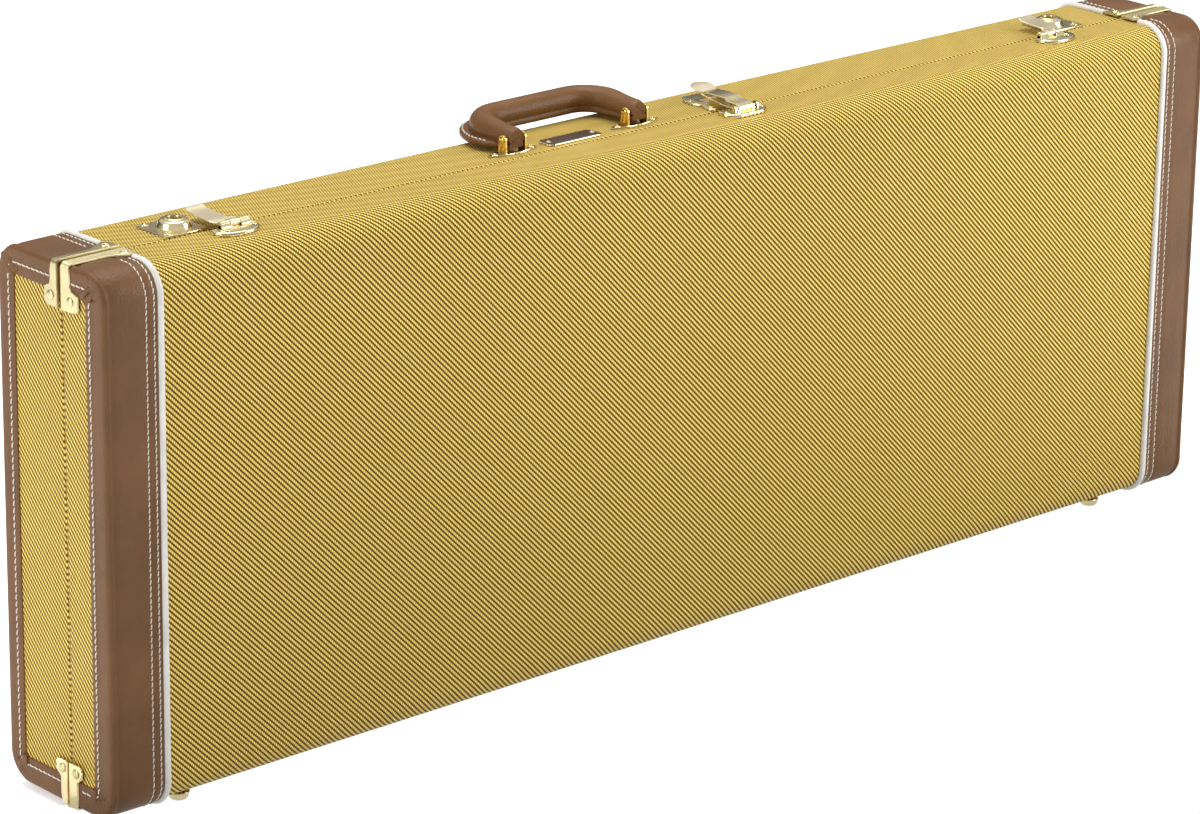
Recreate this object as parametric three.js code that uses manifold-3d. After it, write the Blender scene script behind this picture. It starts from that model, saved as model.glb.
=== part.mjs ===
// Hard-shell electric guitar case standing on its long hinge side, handle on top.
// Millimetres, +Z up. X runs along the case, Y across its depth (-Y is the lid side).
// Origin: middle of the footprint, on the surface that the feet stand on.
import * as THREE from 'three';
import { mergeVertices } from 'three/addons/utils/BufferGeometryUtils.js';
import Module from 'manifold-3d';

const wasm = await Module();
wasm.setup();

// ---- driving dimensions -------------------------------------------------
const LENGTH = 1072;          // over the tweed on the two ends
const HEIGHT = 384;           // over the tweed, without feet
const DEPTH = 115.5;          // lid and base together
const SEAM_Y = -11;           // the split between lid and base
const SEAM_GAP = 0.6;
const EDGE_RADIUS = 20;       // the four long edges
const FOOT_HEIGHT = 6;

const TWEED = 0.8;
const GLUE = 0.2;             // room left between two pieces that touch
const BASE_PLY = 5;
const LID_PLY = 4;
const PLUSH = 2.4;
const LEATHER_PROUD = 1.4;    // how far the leather stands above the tweed
const METAL = 1.2;            // sheet brass
const RUNNING = 0.3;          // room round a turning piece

const BOTTOM_Z = FOOT_HEIGHT;
const TOP_Z = FOOT_HEIGHT + HEIGHT;
const MID_Z = (BOTTOM_Z + TOP_Z) / 2;
const END_X = LENGTH / 2;
const BASE = 1;               // side of the seam, as the sign of Y
const LID = -1;

// leather collars and their piping, measured from the leather's outer end
const COLLAR_LENGTH = 44;
const COLLAR_FRAME_SIDE = { base: 16.5, lid: 19.5 }; // border round the tweed panel on the end face
const COLLAR_FRAME_TOP = 19;
const COLLAR_FRAME_FOOT = 18.5;
const PIPING_RADIUS = 2.6;

// the plywood lip that keeps lid and base in line
const VALANCE_OUT = 8;
const VALANCE_IN = 10;
const VALANCE_THICK = 2.2;

// hinges under the seam
const HINGE_Z = 3;
const KNUCKLE_RADIUS = 2.3;
const HINGE_LENGTH = 64;
const HINGE_X = [-380, 0, 380];

// handle
const HANDLE_X = -74.5;
const HANDLE_SPAN = 117;      // pin to pin
const PIN_Y = 1;
const PIN_Z = TOP_Z + 11;
const PIN_RADIUS = 1.6;
const POST_SPACING = 18.5;
const POST_THICK = 1.8;
const POST_WIDTH = 7.4;
const HANDLE_DEPTH = 46;      // pin to the middle of the grip
const HANDLE_BEND = 22;
const HANDLE_REST_TILT = THREE.MathUtils.degToRad(1.5);

// latches
const LOCK_X = 428.5;         // lock dome, from the middle of the case
const LOCK_Y = 7.8;
const PLUG_RADIUS = 4;
const HASP_X = 399.5;
const HASP_PIN_Y = -20;
const HASP_PIN_Z = TOP_Z + 4.6;
const DRAW_X = 67;
const LEVER_PIN_Y = -27;
const LEVER_PIN_Z = TOP_Z + 5;
const CLAW_PIN_Y = -18;
const CLAW_PIN_Z = TOP_Z + 5.2;

// ---- materials -------------------------------------------------------------
function material(color, roughness, metalness = 0) {
  return new THREE.MeshStandardMaterial({ color, roughness, metalness, flatShading: true });
}
const plywood = () => material(0xb98f5a, 0.7);
const tweed = () => material(0xc9a94e, 0.6);
const leather = () => material(0x6e5039, 0.45);
const vinyl = () => material(0xe6e4dc, 0.4);
const brass = () => material(0xcdbb84, 0.25, 1);
const plush = () => material(0x5c1f24, 0.95);
const darkPlate = () => material(0x2e2017, 0.3);

// ---- solids ---------------------------------------------------------------
function solid(geometry) {
  const bare = geometry.clone();
  bare.deleteAttribute('normal');
  bare.deleteAttribute('uv');
  const merged = mergeVertices(bare, 1e-4);
  return new wasm.Manifold(new wasm.Mesh({
    numProp: 3,
    vertProperties: new Float32Array(merged.attributes.position.array),
    triVerts: new Uint32Array(merged.index.array),
  }));
}

function join(first, ...others) {
  return others.reduce((sum, item) => sum.add(item), first);
}

function cut(first, ...others) {
  return others.reduce((rest, item) => rest.subtract(item), first);
}

function block(x0, x1, y0, y1, z0, z1) {
  const geometry = new THREE.BoxGeometry(x1 - x0, y1 - y0, z1 - z0);
  return solid(geometry.translate((x0 + x1) / 2, (y0 + y1) / 2, (z0 + z1) / 2));
}

// extrude an outline along one axis; the outline's two axes follow in X, Y, Z order
function prism(outline, axis, from, to, curveSegments = 3) {
  const geometry = new THREE.ExtrudeGeometry(outline, {
    depth: to - from, bevelEnabled: false, curveSegments });
  geometry.translate(0, 0, from);
  if (axis === 'x') {
    geometry.applyMatrix4(new THREE.Matrix4().set(
      0, 0, 1, 0, 1, 0, 0, 0, 0, 1, 0, 0, 0, 0, 0, 1));
  }
  if (axis === 'y') {
    geometry.applyMatrix4(new THREE.Matrix4().set(
      1, 0, 0, 0, 0, 0, -1, 0, 0, 1, 0, 0, 0, 0, 0, 1));
  }
  return solid(geometry);
}

function rod(axis, radius, from, to, a, b, sides = 16) {
  const geometry = new THREE.CylinderGeometry(radius, radius, to - from, sides);
  const middle = (from + to) / 2;
  if (axis === 'x') geometry.rotateZ(Math.PI / 2).translate(middle, a, b);
  if (axis === 'y') geometry.translate(a, middle, b);
  if (axis === 'z') geometry.rotateX(Math.PI / 2).translate(a, b, middle);
  return solid(geometry);
}

// a turned piece on a vertical axis, from [radius, height] pairs
function turned(profile, x, y, sides = 24) {
  const points = profile.map(([radius, height]) => new THREE.Vector2(radius, height));
  const geometry = new THREE.LatheGeometry(points, sides);
  return solid(geometry.rotateX(Math.PI / 2).translate(x, y, 0));
}

function polygon(points) {
  return new THREE.Shape(points.map(([a, b]) => new THREE.Vector2(a, b)));
}

function roundedRectangle(a0, a1, b0, b1, radius) {
  const shape = new THREE.Shape();
  shape.moveTo(a0 + radius, b0);
  shape.lineTo(a1 - radius, b0);
  shape.absarc(a1 - radius, b0 + radius, radius, -Math.PI / 2, 0, false);
  shape.lineTo(a1, b1 - radius);
  shape.absarc(a1 - radius, b1 - radius, radius, 0, Math.PI / 2, false);
  shape.lineTo(a0 + radius, b1);
  shape.absarc(a0 + radius, b1 - radius, radius, Math.PI / 2, Math.PI, false);
  shape.lineTo(a0, b0 + radius);
  shape.absarc(a0 + radius, b0 + radius, radius, Math.PI, Math.PI * 1.5, false);
  return shape;
}

// ---- the scene ------------------------------------------------------------
const group = new THREE.Group();
group.name = 'guitar_case';

function part(name, manifold, look) {
  const mesh = manifold.getMesh();
  const geometry = new THREE.BufferGeometry();
  geometry.setAttribute('position', new THREE.BufferAttribute(new Float32Array(mesh.vertProperties), 3));
  geometry.setIndex(new THREE.BufferAttribute(new Uint32Array(mesh.triVerts), 1));
  geometry.computeVertexNormals();
  const item = new THREE.Mesh(geometry, look);
  item.name = name;
  group.add(item);
}

// Section of one half of the case in Y and Z, shrunk by inset, with its open side at openY.
function halfOutline(side, inset, openY) {
  const wall = DEPTH / 2 - inset;
  const radius = Math.max(EDGE_RADIUS - inset, 6);
  const low = BOTTOM_Z + inset;
  const high = TOP_Z - inset;
  const outward = side === BASE ? 0 : Math.PI;
  const clockwise = side === LID;
  const shape = new THREE.Shape();
  shape.moveTo(openY, low);
  shape.lineTo(side * (wall - radius), low);
  shape.absarc(side * (wall - radius), low + radius, radius, -Math.PI / 2, side === BASE ? 0 : -Math.PI,
    clockwise);
  shape.lineTo(side * wall, high - radius);
  shape.absarc(side * (wall - radius), high - radius, radius, outward, Math.PI / 2, clockwise);
  shape.lineTo(openY, high);
  return shape;
}

function half(side, inset, openY) {
  const reach = END_X - inset;
  return prism(halfOutline(side, inset, openY), 'x', -reach, reach);
}

function tray(side, outerInset, innerInset, openY) {
  return cut(half(side, outerInset, openY), half(side, innerInset, openY - side * 5));
}

const seamEdge = (side) => SEAM_Y + side * SEAM_GAP / 2;

// ---- shells, covers and linings --------------------------------------------
const PLY_INSET = TWEED + GLUE;
const BASE_PLY_INSIDE = PLY_INSET + BASE_PLY;
const LID_PLY_INSIDE = PLY_INSET + LID_PLY;
const BASE_LINING_INSIDE = BASE_PLY_INSIDE + GLUE + PLUSH;
const LID_LINING_INSIDE = LID_PLY_INSIDE + GLUE + PLUSH;

function addShells() {
  part('base_shell', tray(BASE, PLY_INSET, BASE_PLY_INSIDE, seamEdge(BASE)), plywood());
  part('lid_shell', tray(LID, PLY_INSET, LID_PLY_INSIDE, seamEdge(LID)), plywood());
  part('base_cover', tray(BASE, 0, TWEED, seamEdge(BASE)), tweed());
  part('lid_cover', tray(LID, 0, TWEED, seamEdge(LID)), tweed());
  const baseLiningEdge = SEAM_Y + VALANCE_IN + GLUE;
  const lidLiningEdge = SEAM_Y - VALANCE_OUT - 1;
  part('base_lining', tray(BASE, BASE_PLY_INSIDE + GLUE, BASE_LINING_INSIDE, baseLiningEdge), plush());
  part('lid_lining', tray(LID, LID_PLY_INSIDE + GLUE, LID_LINING_INSIDE, lidLiningEdge), plush());
}

function addValance() {
  const outer = BASE_PLY_INSIDE + GLUE;
  const inner = outer + VALANCE_THICK;
  const from = SEAM_Y - VALANCE_OUT;
  const to = SEAM_Y + VALANCE_IN;
  const ring = cut(
    block(outer - END_X, END_X - outer, from, to, BOTTOM_Z + outer, TOP_Z - outer),
    block(inner - END_X, END_X - inner, from - 1, to + 1, BOTTOM_Z + inner, TOP_Z - inner));
  part('base_valance', ring, plywood());
}

// ---- interior of the base ---------------------------------------------------
const PAD_FRONT_Y = 12;
const NECK_HALF = 38;
const POCKET = { x0: -60, x1: 190, z0: 327, z1: 377 };
const POCKET_LID_Y = 6;
const POCKET_LID_THICK = 2.6;
const POCKET_HINGE_Z = 377;

// what is free inside the base lining, less a little room all round
function baseCavity() {
  const inset = BASE_LINING_INSIDE + 0.4;
  return half(BASE, inset, SEAM_Y);
}

function addPads() {
  const cavity = baseCavity();
  const bout = rod('y', 158, PAD_FRONT_Y - 1, 60, -355, MID_Z, 48);
  const lowerBout = cut(block(-END_X, -392, PAD_FRONT_Y, 60, 0, TOP_Z), bout);
  part('lower_bout_pad', lowerBout.intersect(cavity), plush());

  const shoulder = cut(
    block(-190, -100, PAD_FRONT_Y, 60, 0, TOP_Z),
    rod('y', 128, PAD_FRONT_Y - 1, 60, -262, MID_Z, 40),
    block(-191, -99, PAD_FRONT_Y - 1, 34, MID_Z - NECK_HALF, MID_Z + NECK_HALF));
  part('shoulder_pad', shoulder.intersect(cavity), plush());

  const rest = cut(
    block(225, 290, PAD_FRONT_Y - 4, 60, 0, TOP_Z),
    block(224, 291, PAD_FRONT_Y - 5, 26, MID_Z - NECK_HALF, MID_Z + NECK_HALF));
  part('neck_rest', rest.intersect(cavity), plush());
}

function addPocket() {
  const wall = 3;
  const rimY = POCKET_LID_Y + POCKET_LID_THICK + RUNNING;
  const box = cut(
    block(POCKET.x0, POCKET.x1, rimY, 60, POCKET.z0, TOP_Z).intersect(baseCavity()),
    block(POCKET.x0 + wall, POCKET.x1 - wall, rimY - 1, 43, POCKET.z0 + wall, POCKET.z1 - wall));
  part('accessory_box', box, plush());
  const pocketLid = block(POCKET.x0, POCKET.x1, POCKET_LID_Y, POCKET_LID_Y + POCKET_LID_THICK,
    POCKET.z0, POCKET_HINGE_Z - 0.4);
  part('accessory_lid', pocketLid, plush());
}

// ---- leather ends -------------------------------------------------------------
const STRAP_GAP_Y = 0.4;
const BASE_STRAP = { near: -10.6, far: -2.8 };
const LID_STRAP = { near: -14.4, far: -22.6 };
const FLARE = 7.5;
const STRAP_DROP_TOP = 30;
const STRAP_DROP_FOOT = 31;

function addCollars() {
  const outer = END_X + LEATHER_PROUD;
  for (const [sideName, side] of [['base', BASE], ['lid', LID]]) {
    const skin = tray(side, -LEATHER_PROUD, -GLUE, seamEdge(side));
    const outerWall = DEPTH / 2 - COLLAR_FRAME_SIDE[sideName];
    const [y0, y1] = side === BASE ? [SEAM_Y - 5, outerWall] : [-outerWall, SEAM_Y + 5];
    for (const [endName, end] of [['left', -1], ['right', 1]]) {
      const [x0, x1] = end < 0 ? [-outer - 1, COLLAR_LENGTH - outer] : [outer - COLLAR_LENGTH, outer + 1];
      const keep = block(x0, x1, -80, 80, -10, TOP_Z + 20);
      const [w0, w1] = end < 0 ? [-outer - 1, -END_X + 5] : [END_X - 5, outer + 1];
      const panel = block(w0, w1, y0, y1, BOTTOM_Z + COLLAR_FRAME_FOOT, TOP_Z - COLLAR_FRAME_TOP);
      part(`${sideName}_collar_${endName}`, cut(skin.intersect(keep), panel), leather());
      const seamX = end * (outer - COLLAR_LENGTH - PIPING_RADIUS);
      part(`${sideName}_piping_${endName}`, piping(side, seamX), vinyl());
    }
  }
}

// a flat-backed cord round one half of the case, stopping short of the corner straps
function piping(side, x) {
  const proud = PIPING_RADIUS;
  const stop = side === BASE ? BASE_STRAP.far + FLARE + 1 : LID_STRAP.far - FLARE - 1;
  const ring = cut(
    prism(halfOutline(side, -proud, stop), 'x', x - PIPING_RADIUS + 0.1, x + PIPING_RADIUS - 0.1),
    prism(halfOutline(side, -GLUE, stop - side * 5), 'x', x - 20, x + 20));
  return ring;
}

// ---- corner straps -------------------------------------------------------------
// L-shaped brass straps that tie the two leather collars' corners beside the seam
function strap(side, end, vertical) {
  const { near, far } = side === BASE ? BASE_STRAP : LID_STRAP;
  const nearY = vertical > 0 ? near : SEAM_Y + side * (STRAP_GAP_Y + SEAM_GAP);
  const edge = vertical > 0 ? TOP_Z + LEATHER_PROUD : BOTTOM_Z - LEATHER_PROUD;
  const [z0, z1] = order(edge + vertical * GLUE, edge + vertical * (GLUE + METAL));
  const face = END_X + LEATHER_PROUD + GLUE;
  const inner = END_X + LEATHER_PROUD - 50;
  const [y0, y1] = order(nearY, far);
  const flat = (a, b, c, d, e, f) => {
    const [x0, x1] = order(end * a, end * b);
    return block(x0, x1, c, d, e, f);
  };
  const legEnd = vertical > 0 ? TOP_Z - STRAP_DROP_TOP : BOTTOM_Z + STRAP_DROP_FOOT;
  const [l0, l1] = order(legEnd, vertical > 0 ? z1 : z0);
  const [e0, e1] = order(legEnd, legEnd + vertical * 13);
  const [f0, f1] = order(nearY, far + side * FLARE);
  const earY = far + side * 0.6;
  const [r0, r1] = order(end * (face + 0.2), end * (face + METAL + 0.9));
  return join(
    flat(inner, face + METAL, y0, y1, z0, z1),
    flat(inner, inner + 11, f0, f1, z0, z1),
    flat(face, face + METAL, y0, y1, l0, l1),
    flat(face, face + METAL, f0, f1, e0, e1),
    rod('x', 3.4, r0, r1, earY, legEnd + vertical * 6.5, 12));
}

function order(a, b) {
  return a < b ? [a, b] : [b, a];
}

function addStraps() {
  for (const [sideName, side] of [['base', BASE], ['lid', LID]]) {
    for (const [endName, end] of [['left', -1], ['right', 1]]) {
      part(`${sideName}_strap_top_${endName}`, strap(side, end, 1), brass());
      part(`${sideName}_strap_foot_${endName}`, strap(side, end, -1), brass());
    }
  }
}

// ---- feet ------------------------------------------------------------------------
function addFeet() {
  const top = FOOT_HEIGHT - GLUE;
  const profile = [[0, 0], [4.6, 0], [6.6, 1.4], [7.6, 4], [7.6, top], [0, top]];
  for (const [endName, x] of [['left', -467], ['right', 450]]) {
    part(`lid_foot_${endName}`, turned(profile, x, -39, 20), brass());
    part(`base_foot_${endName}`, turned(profile, x, 38, 20), brass());
  }
}

// ---- hinges ------------------------------------------------------------------------
function hingeLeaf(x, side) {
  const reach = HINGE_LENGTH / 2;
  const third = HINGE_LENGTH / 3;
  const top = BOTTOM_Z - GLUE;
  const from = SEAM_Y + side * (KNUCKLE_RADIUS + RUNNING);
  const [y0, y1] = order(from, SEAM_Y + side * 17);
  const spans = side === BASE ? [[-reach, -third / 2 - RUNNING], [third / 2 + RUNNING, reach]]
    : [[-third / 2, third / 2]];
  let leaf = block(x - reach, x + reach, y0, y1, top - METAL, top);
  for (const [from0, to0] of spans) {
    const [b0, b1] = order(SEAM_Y, SEAM_Y + side * 5);
    leaf = join(leaf,
      rod('x', KNUCKLE_RADIUS, x + from0, x + to0, SEAM_Y, HINGE_Z, 12),
      block(x + from0, x + to0, b0, b1, HINGE_Z + 0.9, top));
  }
  return cut(leaf, rod('x', 1.25, x - reach - 1, x + reach + 1, SEAM_Y, HINGE_Z, 12));
}

function addHinges() {
  const names = ['left', 'middle', 'right'];
  HINGE_X.forEach((x, index) => {
    part(`hinge_base_leaf_${names[index]}`, hingeLeaf(x, BASE), brass());
    part(`hinge_lid_leaf_${names[index]}`, hingeLeaf(x, LID), brass());
    const reach = HINGE_LENGTH / 2;
    part(`hinge_pin_${names[index]}`, rod('x', 1.1, x - reach, x + reach, SEAM_Y, HINGE_Z, 12), brass());
  });
}

// ---- handle ---------------------------------------------------------------------------
function handleMount(x) {
  const plate = polygon([[-23, 0], [-17, -4.6], [-8, -5.5], [8, -5.5], [17, -4.6], [23, 0],
    [17, 4.6], [8, 5.5], [-8, 5.5], [-17, 4.6]].map(([a, b]) => [x + a, PIN_Y + b]));
  let mount = prism(plate, 'z', TOP_Z + GLUE, TOP_Z + GLUE + METAL);
  for (const side of [-1, 1]) {
    const middle = x + side * POST_SPACING / 2;
    const [x0, x1] = [middle - POST_THICK / 2, middle + POST_THICK / 2];
    mount = join(mount,
      block(x0, x1, PIN_Y - POST_WIDTH / 2, PIN_Y + POST_WIDTH / 2, TOP_Z + GLUE, PIN_Z),
      rod('x', POST_WIDTH / 2, x0, x1, PIN_Y, PIN_Z, 16));
  }
  return cut(mount, rod('x', PIN_RADIUS + 0.15, x - 30, x + 30, PIN_Y, PIN_Z, 12));
}

function handlePath() {
  const half = HANDLE_SPAN / 2;
  const points = [new THREE.Vector3(-half, 6, 0)];
  for (const side of [-1, 1]) {
    const steps = 5;
    for (let i = 0; i <= steps; i += 1) {
      const turn = side < 0 ? i / steps : 1 - i / steps;
      const angle = turn * Math.PI / 2;
      points.push(new THREE.Vector3(
        side * (half - HANDLE_BEND + HANDLE_BEND * Math.cos(angle)),
        HANDLE_DEPTH - HANDLE_BEND + HANDLE_BEND * Math.sin(angle), 0));
    }
  }
  points.push(new THREE.Vector3(half, 6, 0));
  return new THREE.CatmullRomCurve3(points, false, 'centripetal');
}

// padded roll on a flat leather strip; built flat with the pins on the X axis, then leaned back
function handleGrip() {
  const half = HANDLE_SPAN / 2;
  const section = new THREE.Shape();
  section.absellipse(-3.6, 0, 8.2, 9.6, 0, Math.PI * 2);
  const roll = solid(new THREE.ExtrudeGeometry(section, {
    steps: 28, curveSegments: 6, bevelEnabled: false, extrudePath: handlePath() }));
  const outer = roundedRectangle(-half - 12, half + 12, -40, HANDLE_DEPTH + 13, 32);
  const inner = roundedRectangle(-half + 8.5, half - 8.5, -40, HANDLE_DEPTH - 8.5, 13);
  const strip = cut(prism(outer, 'z', -6, -1), prism(inner, 'z', -7, 0),
    block(-100, 100, -60, 9, -8, 8));
  let grip = join(roll, strip);
  for (const side of [-1, 1]) {
    const x = side * half;
    grip = join(grip, block(x - 7.8, x + 7.8, -6, 12, -5.5, 6),
      rod('x', 5.9, x - 7.8, x + 7.8, -1, 0, 16));
  }
  grip = cut(grip, rod('x', PIN_RADIUS + 0.3, -half - 30, half + 30, 0, 0, 12));
  return grip.rotate([THREE.MathUtils.radToDeg(HANDLE_REST_TILT), 0, 0])
    .translate([HANDLE_X, PIN_Y, PIN_Z]);
}

function addHandle() {
  for (const [name, side] of [['left', -1], ['right', 1]]) {
    const x = HANDLE_X + side * HANDLE_SPAN / 2;
    part(`handle_mount_${name}`, handleMount(x), brass());
    const reach = POST_SPACING / 2 + POST_THICK / 2;
    const pin = join(
      rod('x', PIN_RADIUS, x - reach - 1.2, x + reach + 1.2, PIN_Y, PIN_Z, 12),
      rod('x', 2.6, x - reach - 1.3, x - reach - 0.2, PIN_Y, PIN_Z, 12),
      rod('x', 2.6, x + reach + 0.2, x + reach + 1.3, PIN_Y, PIN_Z, 12));
    part(`handle_pin_${name}`, pin, brass());
  }
  part('handle_grip', handleGrip(), leather());
  const badge = roundedRectangle(-102.4, -52.4, -6, 10, 2.5);
  part('name_plate', prism(badge, 'z', TOP_Z + GLUE, TOP_Z + GLUE + 1.6, 2), darkPlate());
}

// ---- key locks with their hasps -------------------------------------------------------
function lockPlate(end) {
  const x = end * LOCK_X;
  const [x0, x1] = order(end * (LOCK_X - 15), end * (LOCK_X + 21));
  const plate = prism(roundedRectangle(x0, x1, -10.4, 23.5, 2.5), 'z', TOP_Z + GLUE, TOP_Z + GLUE + METAL, 2);
  const z = TOP_Z + GLUE;
  const dome = turned([[0, z], [12, z], [12, z + 1.6], [11, z + 4.6], [9.6, z + 5.6], [7.6, z + 6],
    [7.2, z + 7.2], [6.2, z + 7.6], [0, z + 7.6]], x, LOCK_Y);
  const [n0, n1] = order(end * (LOCK_X - 24), end * (LOCK_X - 13));
  const tongue = block(n0, n1, -4, 6, TOP_Z + GLUE, TOP_Z + GLUE + METAL);
  const keeper = block(...order(end * (LOCK_X - 22), end * (LOCK_X - 17)), -1, 3, TOP_Z + GLUE, TOP_Z + 4);
  const bore = rod('z', PLUG_RADIUS + 0.2, z + 1.4, z + 9, x, LOCK_Y, 24);
  return cut(join(plate, dome, tongue, keeper), bore);
}

function lockPlug(end) {
  const x = end * LOCK_X;
  const z = TOP_Z + GLUE;
  const plug = rod('z', PLUG_RADIUS, z + 1.7, z + 8, x, LOCK_Y, 24);
  const keyway = join(block(x - 0.6, x + 0.6, LOCK_Y - 2.4, LOCK_Y + 1.6, z + 4, z + 9),
    rod('z', 1.1, z + 4, z + 9, x, LOCK_Y + 1.4, 10));
  return cut(plug, keyway);
}

const HASP_KNUCKLE = 2.6;
const HASP_BARREL = 25;
const HASP_MIDDLE = 8.4;

function haspPlate(end) {
  const x = end * HASP_X;
  const outline = polygon([[-19, -25], [-17.5, -31], [-11, -35.4], [0, -37], [11, -35.4], [17.5, -31],
    [19, -25], [17, -20.5], [12.5, -19], [-12.5, -19], [-17, -20.5]].map(([a, b]) => [x + a, b]));
  let plate = prism(outline, 'z', TOP_Z + GLUE, TOP_Z + GLUE + METAL);
  const outer = HASP_BARREL / 2;
  const inner = HASP_MIDDLE / 2 + RUNNING;
  for (const [from, to] of [[-outer, -inner], [inner, outer]]) {
    plate = join(plate,
      rod('x', HASP_KNUCKLE, x + from, x + to, HASP_PIN_Y, HASP_PIN_Z, 12),
      block(x + from, x + to, -24, HASP_PIN_Y, TOP_Z + GLUE, HASP_PIN_Z - 0.6));
  }
  return join(plate, rod('x', 1.1, x - outer + 1, x + outer - 1, HASP_PIN_Y, HASP_PIN_Z, 12));
}

function hasp(end) {
  const x = end * HASP_X;
  const [x0, x1] = order(end * (HASP_X - 1), end * (HASP_X + 16.5));
  const top = TOP_Z + 6.4;
  const inner = HASP_MIDDLE / 2;
  const flap = prism(polygon([[-17, top - 1.4], [8, top - 0.4], [11.5, top], [14, top + 1.8],
    [13.2, top + 2.8], [10.6, top + 1.4], [7, top + 1], [-17, top]]), 'x', x0, x1);
  const root = block(x - inner, x + inner, HASP_PIN_Y, -15, TOP_Z + 5, TOP_Z + 6.4);
  const knuckle = rod('x', HASP_KNUCKLE, x - inner, x + inner, HASP_PIN_Y, HASP_PIN_Z, 12);
  return cut(join(flap, root, knuckle),
    rod('x', 1.35, x - inner - 1, x + inner + 1, HASP_PIN_Y, HASP_PIN_Z, 12));
}

function addLocks() {
  for (const [name, end] of [['left', -1], ['right', 1]]) {
    part(`lock_plate_${name}`, lockPlate(end), brass());
    part(`lock_plug_${name}`, lockPlug(end), brass());
    part(`hasp_plate_${name}`, haspPlate(end), brass());
    part(`hasp_${name}`, hasp(end), brass());
  }
}

// ---- the draw latch in the middle --------------------------------------------------------
function addDrawLatch() {
  const x = DRAW_X;
  const z = TOP_Z + GLUE;
  const catchOutline = polygon([[-17, -10.5], [17, -10.5], [17, 14], [14, 24], [7, 30.5], [-7, 30.5],
    [-14, 24], [-17, 14]].map(([a, b]) => [x + a, b]));
  const keeper = block(x - 4, x + 4, 2, 4.4, z, TOP_Z + 2.8);
  part('draw_catch_plate', join(prism(catchOutline, 'z', z, z + METAL), keeper), brass());

  const plateOutline = polygon([[-20, -17], [20, -17], [21, -25], [16, -29], [13, -36], [-13, -36],
    [-16, -29], [-21, -25]].map(([a, b]) => [x + a, b]));
  let plate = prism(plateOutline, 'z', z, z + METAL);
  for (const [from, to] of [[-9.6, -8], [8, 9.6]]) {
    plate = join(plate,
      block(x + from, x + to, LEVER_PIN_Y - 3, LEVER_PIN_Y + 3, z, LEVER_PIN_Z),
      rod('x', 3, x + from, x + to, LEVER_PIN_Y, LEVER_PIN_Z, 12));
  }
  plate = join(plate, rod('x', 1.2, x - 9, x + 9, LEVER_PIN_Y, LEVER_PIN_Z, 12));
  part('draw_plate', plate, brass());

  const wall = polygon([[LEVER_PIN_Y - 2, TOP_Z + 3.4], [9, TOP_Z + 3.4], [9, TOP_Z + 8.6],
    [-17, TOP_Z + 8.6], [LEVER_PIN_Y - 2, TOP_Z + 7]]);
  const tab = prism(polygon([[8, TOP_Z + 7.4], [15, TOP_Z + 7.8], [23, TOP_Z + 10.6], [22.4, TOP_Z + 12],
    [14.6, TOP_Z + 9.2], [8, TOP_Z + 8.8]]), 'x', x - 9.5, x + 9.5);
  let lever = join(
    prism(wall, 'x', x - 7.5, x - 6.1),
    prism(wall, 'x', x + 6.1, x + 7.5),
    block(x - 7.5, x + 7.5, -16, 10, TOP_Z + 7.4, TOP_Z + 8.8),
    tab,
    rod('x', 3, x - 7.5, x + 7.5, LEVER_PIN_Y, LEVER_PIN_Z, 12),
    rod('x', 1, x - 7, x + 7, CLAW_PIN_Y, CLAW_PIN_Z, 12));
  lever = cut(lever, rod('x', 1.5, x - 9, x + 9, LEVER_PIN_Y, LEVER_PIN_Z, 12));
  part('draw_lever', lever, brass());

  const strip = block(x - 5, x + 5, CLAW_PIN_Y, 7, TOP_Z + 3.5, TOP_Z + 4.8);
  const lip = block(x - 5, x + 5, 5.6, 7, TOP_Z + 3.1, TOP_Z + 4.8);
  const claw = cut(
    join(strip, lip, rod('x', 2, x - 5, x + 5, CLAW_PIN_Y, CLAW_PIN_Z, 12)),
    rod('x', 1.3, x - 6, x + 6, CLAW_PIN_Y, CLAW_PIN_Z, 12));
  part('draw_claw', claw, brass());
}

addShells();
addValance();
addPads();
addPocket();
addCollars();
addStraps();
addFeet();
addHinges();
addHandle();
addLocks();
addDrawLatch();

export default group;
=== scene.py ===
import math

import bmesh
import bpy
import numpy as np
from mathutils import Matrix, Vector


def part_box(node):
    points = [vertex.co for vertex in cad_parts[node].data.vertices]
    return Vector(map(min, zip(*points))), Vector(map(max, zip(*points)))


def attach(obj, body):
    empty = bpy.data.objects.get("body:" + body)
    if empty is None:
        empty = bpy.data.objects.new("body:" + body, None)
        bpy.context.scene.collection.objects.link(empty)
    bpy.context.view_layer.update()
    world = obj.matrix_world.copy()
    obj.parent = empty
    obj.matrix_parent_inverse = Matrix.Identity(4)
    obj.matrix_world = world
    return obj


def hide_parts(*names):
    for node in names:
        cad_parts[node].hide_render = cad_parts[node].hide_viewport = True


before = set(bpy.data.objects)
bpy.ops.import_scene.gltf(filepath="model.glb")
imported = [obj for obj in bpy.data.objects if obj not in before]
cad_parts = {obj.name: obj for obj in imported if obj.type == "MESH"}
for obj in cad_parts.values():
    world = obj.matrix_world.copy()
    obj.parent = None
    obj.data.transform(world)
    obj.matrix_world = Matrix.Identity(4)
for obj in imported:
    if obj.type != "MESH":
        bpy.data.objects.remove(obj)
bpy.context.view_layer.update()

# Lengths below are in millimetres, and are turned into metres when a mesh is made.
MM = 0.001
BASE, LID = 1, -1             # side of the seam, as the sign of Y
LEFT, RIGHT = -1, 1           # end of the case, as the sign of X
SIDES = {BASE: "base", LID: "lid"}
ENDS = {LEFT: "left", RIGHT: "right"}


def box_mm(node):
    low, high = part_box(node)
    return low / MM, high / MM


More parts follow.
